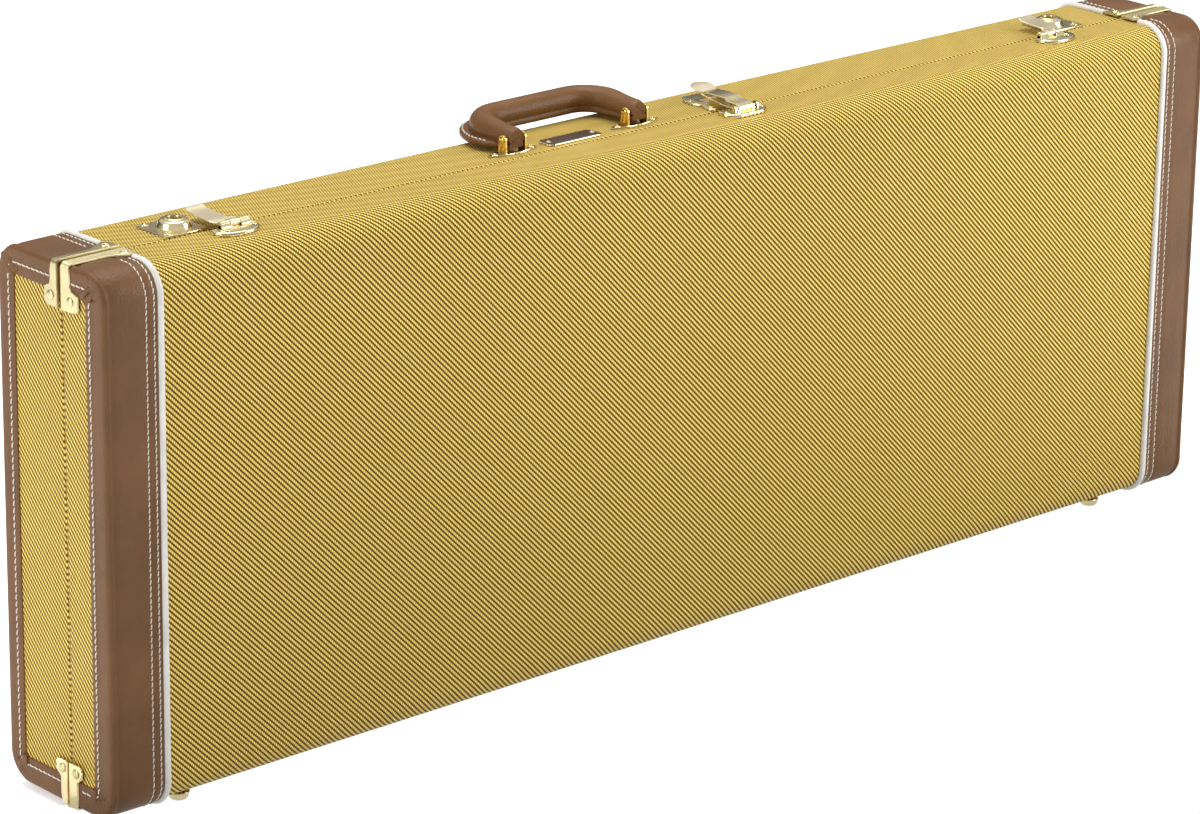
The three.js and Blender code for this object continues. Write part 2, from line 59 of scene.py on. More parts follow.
# ---- the case's own sizes, read from the frame --------------------------------------------
cover_low, cover_high = box_mm("base_cover")
_, lid_high = box_mm("lid_cover")
END = cover_high.x
BOTTOM, TOP = cover_low.z, cover_high.z
WALL = cover_high.y                              # half the depth
SEAM = (cover_low.y + lid_high.y) / 2
EDGE = 20.0                                      # rounding of the long edges
PROUD = box_mm("base_collar_right")[1].z - TOP   # leather above the tweed
COLLAR = 44.0
LEATHER_END = END + PROUD
METAL = 1.2

# ---- Camera and light ------------------------------------------------------------------------
SENSOR, LENS = 36.0, 147.93
CAMERA_PLACE = (-2.34811, -2.53283, 1.35389)       # metres
CAMERA_YAW, CAMERA_PITCH, CAMERA_ROLL = (math.radians(degrees) for degrees in (42.26, 18.92, 0.84))
STUDIO_STRENGTH = 0.72
# Brightness of the studio by height: pale ground, a dark band at the horizon, pale ceiling.
STUDIO_TONES = ((0.46, 0.95), (0.50, 0.05), (0.57, 0.05), (0.75, 1.0))
# name, place, target, size, watts
LAMPS = (("top", (0.1, 0.5, 2.9), (0, 0, 0.2), (2.6, 1.3), 52),
         ("left", (-2.9, 0.25, 1.15), (-0.5, 0, 0.2), (1.4, 1.5), 30),
         ("right", (1.45, -1.5, 1.0), (0.45, 0, 0.2), (0.9, 0.9), 28))


def add_camera():
    data = bpy.data.cameras.new("camera")
    data.sensor_width = SENSOR
    data.lens = LENS
    data.clip_end = 50
    camera = bpy.data.objects.new("camera", data)
    bpy.context.scene.collection.objects.link(camera)
    yaw, pitch, roll = CAMERA_YAW, CAMERA_PITCH, CAMERA_ROLL
    forward = Vector((math.sin(yaw) * math.cos(pitch), math.cos(yaw) * math.cos(pitch), -math.sin(pitch)))
    level = Vector((math.cos(yaw), -math.sin(yaw), 0))
    up = level.cross(forward)
    right = math.cos(roll) * level + math.sin(roll) * up
    up = math.cos(roll) * up - math.sin(roll) * level
    turn = Matrix((right, up, -forward)).transposed().to_4x4()
    camera.matrix_world = Matrix.Translation(Vector(CAMERA_PLACE)) @ turn
    bpy.context.scene.camera = camera


def area_light(name, place, target, size, power):
    data = bpy.data.lights.new(name, "AREA")
    data.shape = "RECTANGLE"
    data.size, data.size_y = size
    data.energy = power
    light = bpy.data.objects.new(name, data)
    bpy.context.scene.collection.objects.link(light)
    light.location = place
    light.rotation_euler = (Vector(target) - Vector(place)).to_track_quat("-Z", "Y").to_euler()


def add_light():
    world = bpy.data.worlds.new("studio")
    bpy.context.scene.world = world
    world.use_nodes = True
    tree = world.node_tree
    studio = tree.nodes["Background"]
    studio.inputs["Strength"].default_value = STUDIO_STRENGTH
    place = tree.nodes.new("ShaderNodeTexCoord")
    axes = tree.nodes.new("ShaderNodeSeparateXYZ")
    tree.links.new(place.outputs["Generated"], axes.inputs[0])
    height = tree.nodes.new("ShaderNodeMapRange")
    height.inputs["From Min"].default_value = -1
    tree.links.new(axes.outputs["Z"], height.inputs["Value"])
    shade = tree.nodes.new("ShaderNodeValToRGB")
    tree.links.new(height.outputs["Result"], shade.inputs["Fac"])
    points = shade.color_ramp.elements
    points.new(0.5)
    points.new(0.5)
    for point, (position, tone) in zip(points, STUDIO_TONES):
        point.position, point.color = position, (tone, tone, tone, 1)
    tree.links.new(shade.outputs["Color"], studio.inputs["Color"])
    backdrop = tree.nodes.new("ShaderNodeBackground")
    backdrop.inputs["Color"].default_value = (1, 1, 1, 1)
    choice = tree.nodes.new("ShaderNodeMixShader")
    seen = tree.nodes.new("ShaderNodeLightPath")
    tree.links.new(seen.outputs["Is Camera Ray"], choice.inputs[0])
    tree.links.new(studio.outputs[0], choice.inputs[1])
    tree.links.new(backdrop.outputs[0], choice.inputs[2])
    tree.links.new(choice.outputs[0], tree.nodes["World Output"].inputs["Surface"])
    for lamp in LAMPS:
        area_light(*lamp)
    bpy.context.scene.view_settings.view_transform = "Standard"
    bpy.context.scene.view_settings.look = "None"


# ---- Mesh building ---------------------------------------------------------------------------
class Build:
    """Gathers closed shapes, in millimetres, into one mesh object."""

    def __init__(self):
        self.verts = []
        self.faces = []
        self.uvs = []

    def add(self, verts, faces, uvs=None):
        start = len(self.verts)
        self.verts.extend([tuple(v) for v in verts])
        self.uvs.extend([tuple(uv) for uv in uvs] if uvs is not None else [(v[0], v[2]) for v in verts])
        self.faces.extend([[start + i for i in face] for face in faces])
        return self

    def loft(self, rings, uvs=None):
        """Joins rings of equally many points, and caps the two end rings."""
        count, size = len(rings), len(rings[0])
        faces = []
        for i in range(count - 1):
            a, b = i * size, (i + 1) * size
            faces += [[a + j, a + (j + 1) % size, b + (j + 1) % size, b + j] for j in range(size)]
        faces.append(list(range(size))[::-1])
        faces.append([(count - 1) * size + j for j in range(size)])
        flat_uvs = [uv for ring in uvs for uv in ring] if uvs else None
        return self.add([p for ring in rings for p in ring], faces, flat_uvs)

    def prism(self, outline, axis, start, stop):
        """An outline in the two other axes, taken in X, Y, Z order, stretched along one axis."""
        def place(level, a, b):
            return {"x": (level, a, b), "y": (a, level, b), "z": (a, b, level)}[axis]
        return self.loft([[place(level, a, b) for a, b in outline] for level in (start, stop)])

    def turned(self, profile, centre, sides=32, axis="z"):
        """A profile of (radius, height) pairs, from axis to axis, turned about a line through centre."""
        rings = []
        for radius, height in profile:
            ring = []
            for i in range(sides):
                angle = 2 * math.pi * i / sides
                a, b = radius * math.cos(angle), radius * math.sin(angle)
                x, y, z = {"z": (a, b, height), "x": (height, a, b), "y": (b, height, a)}[axis]
                ring.append((centre[0] + x, centre[1] + y, centre[2] + z))
            rings.append(ring)
        return self.loft(rings)

    def rod(self, axis, radius, start, stop, centre, sides=24, edge=0.25):
        """A rod with softened ends; start and stop are measured along the axis from centre."""
        edge = min(edge, radius * 0.5)
        profile = [(radius - edge, start), (radius, start + edge),
                   (radius, stop - edge), (radius - edge, stop)]
        return self.turned(profile, centre, sides, axis)

    def finish(self, name, body, look, replaces=(), bevel=0.0, smooth=35, recalc=True):
        mesh = bpy.data.meshes.new(name)
        mesh.from_pydata([Vector(v) * MM for v in self.verts], [], self.faces)
        layer = mesh.uv_layers.new(name="cloth")
        loop_verts = np.zeros(len(mesh.loops), dtype=np.int32)
        mesh.loops.foreach_get("vertex_index", loop_verts)
        layer.data.foreach_set("uv", (np.array(self.uvs) * MM)[loop_verts].astype(np.float32).ravel())
        if recalc:
            outward(mesh)
        mesh.shade_smooth()
        mesh.set_sharp_from_angle(angle=math.radians(smooth))
        mesh.materials.append(look[0])
        piece = bpy.data.objects.new(name, mesh)
        bpy.context.scene.collection.objects.link(piece)
        if bevel:
            modifier = piece.modifiers.new("edges", "BEVEL")
            modifier.width = bevel * MM
            modifier.segments = 2
            modifier.limit_method = "ANGLE"
            modifier.angle_limit = math.radians(40)
            modifier.harden_normals = True
        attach(piece, body)
        if replaces:
            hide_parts(*replaces)
        return piece


def outward(mesh):
    work = bmesh.new()
    work.from_mesh(mesh)
    bmesh.ops.recalc_face_normals(work, faces=work.faces)
    work.to_mesh(mesh)
    work.free()


def rounded(a0, a1, b0, b1, radius, steps=6):
    """Outline of a rectangle with round corners."""
    points = []
    corners = ((a1 - radius, b0 + radius, -90), (a1 - radius, b1 - radius, 0),
               (a0 + radius, b1 - radius, 90), (a0 + radius, b0 + radius, 180))
    for a, b, start in corners:
        for k in range(steps + 1):
            angle = math.radians(start + 90 * k / steps)
            points.append((a + radius * math.cos(angle), b + radius * math.sin(angle)))
    return points


def softened(points, radius, steps=4):
    """Rounds each corner of a polygon with a small quadratic curve."""
    result = []
    count = len(points)
    for i, point in enumerate(points):
        here = Vector(point)
        before, after = Vector(points[i - 1]) - here, Vector(points[(i + 1) % count]) - here
        reach = min(radius, before.length * 0.45, after.length * 0.45)
        start, stop = here + before.normalized() * reach, here + after.normalized() * reach
        for k in range(steps + 1):
            t = k / steps
            result.append(tuple(start * (1 - t) ** 2 + here * 2 * t * (1 - t) + stop * t ** 2))
    return result


def outline(side, offset, open_y, steps=12):
    """Half of the case's rounded section, from the seam at the bottom round to the seam at the top."""
    radius = EDGE + offset
    centre = side * (WALL - EDGE)
    points = [(open_y, BOTTOM - offset)]
    for start, z in ((-90, BOTTOM + EDGE), (0, TOP - EDGE)):
        for k in range(steps + 1):
            angle = math.radians(start + 90 * k / steps)
            points.append((centre + side * radius * math.cos(angle), z + radius * math.sin(angle)))
    points.append((open_y, TOP + offset))
    return points


def lengths(points):
    total, result = 0.0, [0.0]
    for a, b in zip(points, points[1:]):
        total += math.dist(a, b)
        result.append(total)
    return result


# ---- Materials -------------------------------------------------------------------------------
class Graph:
    """A material's node tree with short calls for the nodes used here."""

    def __init__(self, name, slot, roughness=0.5, metallic=0.0, **settings):
        self.material = bpy.data.materials.new(name)
        self.material.use_nodes = True
        self.tree = self.material.node_tree
        self.shader = self.tree.nodes["Principled BSDF"]
        self.slot = slot
        self.shader.inputs["Roughness"].default_value = roughness
        self.shader.inputs["Metallic"].default_value = metallic
        for key, value in settings.items():
            self.shader.inputs[key.replace("_", " ")].default_value = value

    def node(self, kind, inputs=None, **properties):
        item = self.tree.nodes.new("ShaderNode" + kind)
        for key, value in properties.items():
            setattr(item, key, value)
        for key, value in (inputs or {}).items():
            if isinstance(value, bpy.types.NodeSocket):
                self.tree.links.new(value, item.inputs[key])
            else:
                item.inputs[key].default_value = value
        return item

    def math(self, operation, *values):
        return self.node("Math", dict(enumerate(values)), operation=operation).outputs[0]

    def place(self):
        return self.node("TexCoord").outputs["Object"]

    def noise(self, vector, scale, detail=3.0, rough=0.55):
        return self.node("TexNoise", {"Vector": vector, "Scale": scale, "Detail": detail,
                                      "Roughness": rough}).outputs["Fac"]

    def stretched(self, vector, scale):
        return self.node("Mapping", {"Vector": vector, "Scale": scale}).outputs[0]

    def ramp(self, factor, *stops):
        item = self.node("ValToRGB", {"Fac": factor})
        points = item.color_ramp.elements
        while len(points) < len(stops):
            points.new(0.5)
        for point, (position, colour) in zip(points, stops):
            point.position = position
            point.color = (*colour, 1)
        return item.outputs["Color"]

    def mix(self, factor, a, b, blend="MIX"):
        item = self.node("Mix", data_type="RGBA", blend_type=blend)
        for index, value in ((0, factor), (6, a), (7, b)):
            if isinstance(value, bpy.types.NodeSocket):
                self.tree.links.new(value, item.inputs[index])
            else:
                item.inputs[index].default_value = value if index == 0 else (*value, 1)
        return item.outputs[2]

    def link(self, key, socket):
        self.tree.links.new(socket, self.shader.inputs[key])

    def bump(self, height, distance, strength=1.0):
        item = self.node("Bump", {"Height": height, "Distance": distance * MM, "Strength": strength})
        self.link("Normal", item.outputs[0])

    def look(self):
        return self.material, self.slot


CORD = 2.98 * MM              # pitch of the twill's cords, across them
BEAD = 2.15 * MM              # pitch of the floats along a cord


def tweed_look():
    """Lacquered twill: fat diagonal cords of short floats, with painted shade in the gaps between the cords
    and a painted highlight on the tops of the floats.
    """
    g = Graph("tweed", "tweed", 0.5, Specular_IOR_Level=0.2)
    uv = g.node("UVMap", uv_map="cloth").outputs[0]
    wander = g.noise(uv, 9.0, 2.0)
    axes = g.node("SeparateXYZ", {0: uv})
    across = g.math("MULTIPLY", g.math("ADD", axes.outputs[0], axes.outputs[1]), math.sqrt(0.5) / CORD)
    across = g.math("ADD", across, g.math("MULTIPLY", wander, 0.25))
    along = g.math("MULTIPLY", g.math("SUBTRACT", axes.outputs[0], axes.outputs[1]), math.sqrt(0.5) / BEAD)
    phase = g.math("MULTIPLY", g.math("SUBTRACT", g.math("FRACT", across), 0.5), 2.0)
    cord = g.math("POWER", g.math("SUBTRACT", 1.0, g.math("POWER", g.math("ABSOLUTE", phase), 2.0)), 1.5)
    slant = g.math("ADD", along, g.math("MULTIPLY", phase, 0.45))
    slant = g.math("ADD", slant, g.math("MULTIPLY", g.math("FLOOR", across), 0.5))
    bead = g.math("POWER", g.math("ABSOLUTE", g.math("SINE", g.math("MULTIPLY", slant, math.pi))), 0.7)
    fibre = g.noise(g.stretched(uv, (900, 900, 1)), 2.0, 2.0)
    height = g.math("MULTIPLY", cord, g.math("ADD", 0.32, g.math("MULTIPLY", bead, 0.68)))
    shade = g.math("ADD", height, g.math("MULTIPLY", g.math("SUBTRACT", fibre, 0.5), 0.22))
    # The ramp follows the weave's height: painted shade, near black, in the gaps between the cords, and a
    # painted highlight, pale gold, on the tops of the floats.
    colour = g.ramp(shade, (0.10, (0.080, 0.036, 0.001)), (0.38, (0.29, 0.16, 0.006)),
                    (0.62, (0.80, 0.515, 0.055)), (0.84, (1.0, 0.84, 0.28)))
    patch = g.noise(uv, 3.0, 3.0)
    # Random darker patches multiply a colour that already holds the painted shade and the painted highlight.
    patches_and_painted_shade = g.mix(g.math("MULTIPLY", patch, 0.22), colour, (0.50, 0.33, 0.07), "MULTIPLY")
    g.link("Base Color", patches_and_painted_shade)
    g.link("Roughness", g.math("SUBTRACT", 0.62, g.math("MULTIPLY", height, 0.25)))
    g.bump(height, 0.6, 1.0)
    return g.look()


def leather_look(name, slot, dark, light, grain=1.0):
    """Smooth brown leather: fine pebble grain, soft wrinkles, paler where it is rubbed."""
    g = Graph(name, slot, 0.45, Specular_IOR_Level=0.28)
    place = g.place()
    cloud = g.noise(place, 14.0, 5.0, 0.6)
    colour = g.ramp(cloud, (0.25, dark), (0.75, light))
    fine = g.noise(place, 900.0, 3.0)
    pebble = g.node("TexVoronoi", {"Vector": place, "Scale": 780.0 / grain}, feature="SMOOTH_F1").outputs[0]
    g.link("Base Color", g.mix(g.math("MULTIPLY", fine, 0.25), colour, tuple(c * 1.35 for c in light)))
    crease = g.noise(g.stretched(place, (1.0, 1.0, 0.45)), 110.0 / grain, 4.0, 0.65)
    height = g.math("ADD", g.math("MULTIPLY", pebble, 0.35), g.math("MULTIPLY", crease, 1.0))
    g.link("Roughness", g.math("ADD", 0.36, g.math("MULTIPLY", cloud, 0.18)))
    g.bump(height, 0.8, 0.9)
    return g.look()


def thread_look():
    g = Graph("thread", "piping", 0.7)
    twist = g.node("TexWave", {"Vector": g.place(), "Scale": 1100.0, "Distortion": 1.5}).outputs["Fac"]
    g.link("Base Color", g.ramp(twist, (0.0, (0.62, 0.56, 0.47)), (1.0, (0.84, 0.80, 0.72))))
    g.bump(twist, 0.08)
    return g.look()


def piping_look():
    g = Graph("piping", "piping", 0.35, Coat_Weight=0.15)
    grime = g.noise(g.place(), 60.0, 4.0)
    g.link("Base Color", g.ramp(grime, (0.3, (0.64, 0.62, 0.57)), (0.7, (0.80, 0.78, 0.73))))
    g.bump(g.noise(g.place(), 420.0), 0.06, 0.5)
    return g.look()


def brass_look(name, slot, dark, light, roughness, brushed=None):
    """Pale brass plate: cloudy tarnish and fine scratches, or a brushed grain along one axis."""
    g = Graph(name, slot, roughness, 1.0)
    place = g.place()
    cloud = g.noise(place, 70.0, 5.0, 0.6)
    g.link("Base Color", g.ramp(cloud, (0.3, dark), (0.7, light)))
    grain = g.noise(g.stretched(place, brushed or (1, 1, 1)), 700.0 if brushed is None else 60.0, 3.0)
    g.link("Roughness", g.math("ADD", roughness - 0.06, g.math("MULTIPLY", grain, 0.14)))
    g.bump(grain, 0.02 if brushed is None else 0.03, 0.15)
    return g.look()


def badge_look():
    g = Graph("badge", "badge", 0.28, Coat_Weight=0.4, Coat_Roughness=0.12)
    cloud = g.noise(g.stretched(g.place(), (0.5, 3.0, 1.0)), 120.0, 4.0)
    g.link("Base Color", g.ramp(cloud, (0.3, (0.020, 0.011, 0.007)), (0.75, (0.075, 0.042, 0.024))))
    g.bump(cloud, 0.05, 0.4)
    return g.look()


def plush_look():
    """Dense short pile: a soft speckle with a sheen at grazing angles."""
    g = Graph("plush", "plush", 0.95, Sheen_Weight=0.7, Sheen_Roughness=0.4,
              Sheen_Tint=(0.9, 0.35, 0.35, 1), Specular_IOR_Level=0.2)
    place = g.place()
    pile = g.noise(place, 1400.0, 2.0)
    brush = g.noise(place, 16.0, 4.0)
    tone = g.math("ADD", g.math("MULTIPLY", pile, 0.6), g.math("MULTIPLY", brush, 0.4))
    g.link("Base Color", g.ramp(tone, (0.3, (0.055, 0.006, 0.010)), (0.7, (0.165, 0.020, 0.026))))
    g.bump(pile, 0.5, 0.7)
    return g.look()


def plywood_look():
    g = Graph("plywood", "plywood", 0.6)
    grain = g.noise(g.stretched(g.place(), (6.0, 40.0, 40.0)), 6.0, 6.0, 0.65)
    g.link("Base Color", g.ramp(grain, (0.3, (0.36, 0.21, 0.10)), (0.7, (0.62, 0.43, 0.24))))
    g.bump(grain, 0.1, 0.6)
    return g.look()


def floor_look():
    g = Graph("floor", "floor", 0.9, Emission_Color=(1, 1, 1, 1), Emission_Strength=0.38)
    grain = g.noise(g.place(), 30.0)
    g.link("Base Color", g.ramp(grain, (0.0, (0.90, 0.90, 0.90)), (1.0, (0.93, 0.93, 0.93))))
    return g.look()


TWEED = tweed_look()
LEATHER = leather_look("leather", "leather", (0.086, 0.037, 0.012), (0.172, 0.077, 0.026))
HANDLE_LEATHER = leather_look("handle_leather", "handle_leather",
                              (0.092, 0.037, 0.009), (0.182, 0.080, 0.022), 1.2)
THREAD = thread_look()
PIPING = piping_look()
BRASS = brass_look("brass", "brass", (0.74, 0.62, 0.34), (0.88, 0.77, 0.47), 0.18)
GOLD = brass_look("gold_brass", "brass", (0.72, 0.47, 0.10), (0.86, 0.62, 0.20), 0.13)
SATIN = brass_look("satin_brass", "satin_brass", (0.58, 0.50, 0.27), (0.70, 0.61, 0.36), 0.36, (4, 60, 4))
PALE = brass_look("pale_brass", "satin_brass", (0.68, 0.58, 0.38), (0.80, 0.70, 0.50), 0.40)
BADGE = badge_look()
PLUSH = plush_look()
PLYWOOD = plywood_look()


def dress(node, look):
    """Gives a CAD node that stays visible its material."""
    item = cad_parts[node]
    item.data.materials.clear()
    item.data.materials.append(look[0])
    return item


# ---- Tweed covers ----------------------------------------------------------------------------
RIM = 0.30                    # half the gap that shows between lid and base
END_RIM = 0.42                # the same on the end faces
LIP = 0.28                    # the same along the turned-in lip
END_WEAVE = 0.945             # the weave on the end panels is a little coarser


def cover_section(side):
    """Closed section of a cover: outside, turned over the plywood's edge at the seam, and back inside."""
    seam = SEAM + side * RIM
    roll, skin, tuck = 1.3, 0.92, 5.4
    outside = outline(side, 0, seam + side * roll)
    path = lengths(outside)
    points = list(zip(outside, path))
    lip = SEAM + side * LIP

    def turn(edge_z, sign, s0):
        steps = [(seam + side * roll * (1 - math.sin(t)), edge_z - sign * roll * (1 - math.cos(t)), t)
                 for t in (math.radians(a) for a in (22, 45, 68, 90))]
        return [((y, z), s0 + sign * roll * t) for y, z, t in steps]

    top, bottom = turn(TOP, 1, path[-1]), turn(BOTTOM, -1, 0.0)
    lip_top = [((seam, TOP - tuck), path[-1] + tuck), ((lip, TOP - tuck), path[-1] + tuck + 0.3)]
    lip_bottom = [((lip, BOTTOM + tuck), -tuck - 0.3), ((seam, BOTTOM + tuck), -tuck)]
    inside = outline(side, -skin, lip)
    back = list(zip(inside, lengths(inside)))[::-1]
    return points + top + lip_top + back + lip_bottom + bottom[::-1], path[-1]


def end_panel(side, end):
    """The tweed on one half's end face, rounded over towards the seam."""
    rings = []
    for inset, back in ((0, 2.4), (0, 1.3), (0.35, 0.5), (1.0, 0.1), (1.6, 0)):
        y0, y1 = sorted((SEAM + side * (END_RIM + inset), side * (WALL - 7)))
        rings.append([(end * (END - back), y, z) for y, z in rounded(y0, y1, BOTTOM + 7, TOP - 7, 1.0, 2)])
    return Build().loft(rings)


def add_covers():
    for side, half in SIDES.items():
        section, run = cover_section(side)
        rings, uvs = [], []
        for x in (-END + 2.5, 0, END - 2.5):
            rings.append([(x, y, z) for (y, z), _ in section])
            uvs.append([(x, s if side == LID else 2 * run - s) for _, s in section])
        build = Build().loft(rings, uvs)
        for end in ENDS:
            panel = end_panel(side, end)
            build.add(panel.verts, panel.faces, [(-v[1] * END_WEAVE, v[2] * END_WEAVE) for v in panel.verts])
        build.finish(f"{half}_tweed", half, TWEED, [f"{half}_cover"])


# ---- Leather ends, their piping and stitching ------------------------------------------------
FRAME_SIDE = {BASE: 17.9, LID: 20.9}
FRAME_TOP, FRAME_FOOT = 20.4, 19.9
STITCH_ROWS = (41.0, 34.5)    # from the leather's outer end
END_ROUND = 3.6               # rounding of the leather's outer edge
# Mitre folds at the corners: degrees round the corner, spread in degrees, depth in millimetres.
UPPER_FOLDS = ((24, 4.5, 0.95), (44, 6.0, -0.5), (63, 4.5, 0.95))
LOWER_FOLDS = ((30, 5.0, 0.7), (66, 5.0, 0.95))


def frame_width(side, normal_z):
    """Width of the leather border on the end face, where the section's outward normal rises by normal_z."""
    other = FRAME_TOP if normal_z > 0 else FRAME_FOOT
    blend = abs(normal_z) ** 1.5
    return FRAME_SIDE[side] + (other - FRAME_SIDE[side]) * blend


def stations(side, steps, open_y):
    """(y, z, normal y, normal z, degrees round the corner or None) along a half's outline."""
    flat = outline(side, 0, open_y, steps)
    proud = outline(side, 1, open_y, steps)
    result = []
    for index, ((y, z), (py, pz)) in enumerate(zip(flat, proud)):
        on_arc = 1 <= index <= 2 * (steps + 1)
        turn = (index - 1) % (steps + 1) / steps * 90 if on_arc else None
        upper = index > steps + 1
        result.append((y, z, py - y, pz - z, turn, upper))
    return result


def collar_profile(width, tuck, pleat):
    """Points (a, n): a from the leather's outer end plane inwards along the case, n out of the tweed."""
    top = PROUD - tuck
    points = [(COLLAR, 0.15), (COLLAR, top - 0.5), (COLLAR - 0.3, top - 0.12), (COLLAR - 1.0, top)]
    for row in STITCH_ROWS:
        points += [(row + 1.2, top), (row, top - 0.35), (row - 1.2, top)]
    points += [(27.0, top), (18.0, top - 0.02), (10.5, top - 0.15)]
    points += [(7.4, top - 0.7), (5.8, top - 1.15), (4.7, top - 0.75)]
    for k in range(9):
        angle = math.radians(90 * k / 8)
        points.append((END_ROUND - (END_ROUND + 0.25) * math.sin(angle),
                       PROUD - END_ROUND + (END_ROUND + 0.1 - tuck) * math.cos(angle)))
    inner = PROUD - width
    points += [(-0.3 + pleat * 0.4, -6.0), (-0.1 + pleat, -7.6), (pleat, (inner - 8.0) / 2),
               (pleat * 0.8, inner + 2.6), (0.15 + pleat * 0.5, inner + 0.9),
               (0.6, inner), (1.3, inner + 0.1), (1.32, -4.4)]
    for k in range(5):
        angle = math.radians(90 - 90 * k / 4)
        points.append((5.6 - 4.28 * math.sin(angle), -4.3 + 4.4 * math.cos(angle)))
    points.append((12.0, 0.12))
    return points


def pleat_depth(turn, upper):
    """How deep the mitre folds cut into the border at a corner, in millimetres."""
    if turn is None:
        return 0.0
    folds = UPPER_FOLDS if upper else LOWER_FOLDS
    return sum(depth * math.exp(-((turn - at) / spread) ** 2) for at, spread, depth in folds)


def add_collars():
    for side, half in SIDES.items():
        seam = SEAM + side * RIM
        path = stations(side, 30, seam)
        near_first, near_last = [(seam + side * 1.2, *s[1:4], None, s[5]) for s in (path[0], path[-1])]
        path = [path[0], near_first] + path[1:-1] + [near_last, path[-1]]
        for end, word in ENDS.items():
            rings = []
            for index, (y, z, ny, nz, turn, upper) in enumerate(path):
                tuck = 0.7 if index in (0, len(path) - 1) else 0.0
                profile = collar_profile(frame_width(side, nz), tuck, pleat_depth(turn, upper))
                rings.append([(end * (LEATHER_END - a), y + n * ny, z + n * nz) for a, n in profile])
            collar = Build().loft(rings)
            collar.finish(f"{half}_leather_{word}", half, LEATHER, [f"{half}_collar_{word}"], smooth=50)
            add_folds(side, half, end, word)
            add_piping(side, half, end, word)
            add_stitches(side, half, end, word)


# Ridges: offset across the diagonal, start and length along it, height.
UPPER_RIDGES = ((-1.5, 0.4, 17.0, 1.5), (4.6, -1.0, 14.0, 1.7))
LOWER_RIDGES = ((1.0, 0.0, 15.0, 1.2),)
RIDGE_SECTION = ((-1.0, -0.9), (-0.95, 0.1), (-0.8, 0.62), (-0.45, 0.95), (0.0, 1.0),
                 (0.5, 0.7), (1.0, 0.25), (1.4, -0.1), (1.5, -0.9))


def add_folds(side, half, end, word):
    """The gathered leather where the border turns a corner: tapered ridges along the diagonal."""
    build = Build()
    for vertical in (1, -1):
        level = TOP - FRAME_TOP + PROUD if vertical > 0 else BOTTOM + FRAME_FOOT - PROUD
        start = Vector((side * (WALL + PROUD - FRAME_SIDE[side]), level))
        diagonal = Vector((side, vertical)).normalized()
        across = Vector((-diagonal.y, diagonal.x)) * side * vertical
        ridges = UPPER_RIDGES if vertical > 0 else LOWER_RIDGES
        for offset, lead, length, height in ridges:
            rings = []
            steps = 10
            for k in range(steps + 1):
                t = k / steps
                middle = start + diagonal * (lead + length * t) + across * (offset * (1 - 0.35 * t))
                wide = 2.7 - 1.1 * t
                tall = height * math.sin(math.pi * min(1.0, 0.18 + 0.8 * t)) ** 0.8
                ring = []
                for w, n in RIDGE_SECTION:
                    place = middle + across * (w * wide)
                    ring.append((end * (LEATHER_END - 0.25 + max(n, -0.9) * tall), place.x, place.y))
                rings.append(ring)
            build.loft(rings)
        if vertical < 0:
            tab = rounded(start.x - 3.2, start.x + 2.4, start.y - 6.6, start.y + 1.2, 0.8, 3)
            rings = []
            for x, k in ((-1.5, 1.0), (0.5, 1.0), (1.15, 0.93), (1.3, 0.75)):
                rings.append([(end * (LEATHER_END + x), start.x + (y - start.x) * k,
                               start.y - 2.7 + (z - start.y + 2.7) * k) for y, z in tab])
            build.loft(rings)
    build.finish(f"{half}_leather_folds_{word}", half, LEATHER, smooth=50)


PIPE = 2.6                    # radius of the piping


def strap_clearance(side):
    """Y where piping and stitches stop, beside the corner straps."""
    return 5.6 if side == BASE else -31.0


def add_piping(side, half, end, word):
    path = stations(side, 14, strap_clearance(side))
    rings = []
    for y, z, ny, nz, _, _ in path:
        ring = []
        for k in range(14):
            angle = 2 * math.pi * k / 14
            x = end * (LEATHER_END - COLLAR - PIPE + 0.05 + PIPE * math.cos(angle))
            n = 0.75 + PIPE * 0.9 * math.sin(angle)
            ring.append((x, y + n * ny, z + n * nz))
        rings.append(ring)
    Build().loft(rings).finish(f"{half}_welt_{word}", half, PIPING, [f"{half}_piping_{word}"], smooth=60)


# Along the stitch, height in thread thicknesses, and thickness of the thread.
STITCH_SHAPE = ((-0.5, -0.45, 0.6), (-0.36, 0.1, 0.9), (0.0, 0.34, 1.0), (0.36, 0.1, 0.9), (0.5, -0.45, 0.6))


def stitch(build, at, along, out, length, radius, slant):
    """One lock stitch: a thread that rises out of its hole, lies on the leather and dives again."""
    side = along.cross(out).normalized()
    along = (along + side * slant).normalized()
    side = along.cross(out).normalized()
    rings = []
    for t, lift, size in STITCH_SHAPE:
        middle = at + along * (t * length) + out * (lift * radius * 2)
        rings.append([middle + (side * math.cos(q) + out * math.sin(q)) * radius * size
                      for q in (math.radians(60 * k) for k in range(6))])
    build.loft(rings)


def stitch_line(build, points, normals, gap, length, radius, slant=0.18):
    """Stitches at even steps along a line of points with their outward normals."""
    run = lengths(points)
    count = max(2, int(run[-1] / gap))
    index = 0
    for k in range(count):
        s = (k + 0.5) * run[-1] / count
        while run[index + 1] < s:
            index += 1
        t = (s - run[index]) / (run[index + 1] - run[index])
        a, b = Vector(points[index]), Vector(points[index + 1])
        out = Vector(normals[index]).lerp(Vector(normals[index + 1]), t).normalized()
        stitch(build, a.lerp(b, t), (b - a).normalized(), out, length, radius, slant)


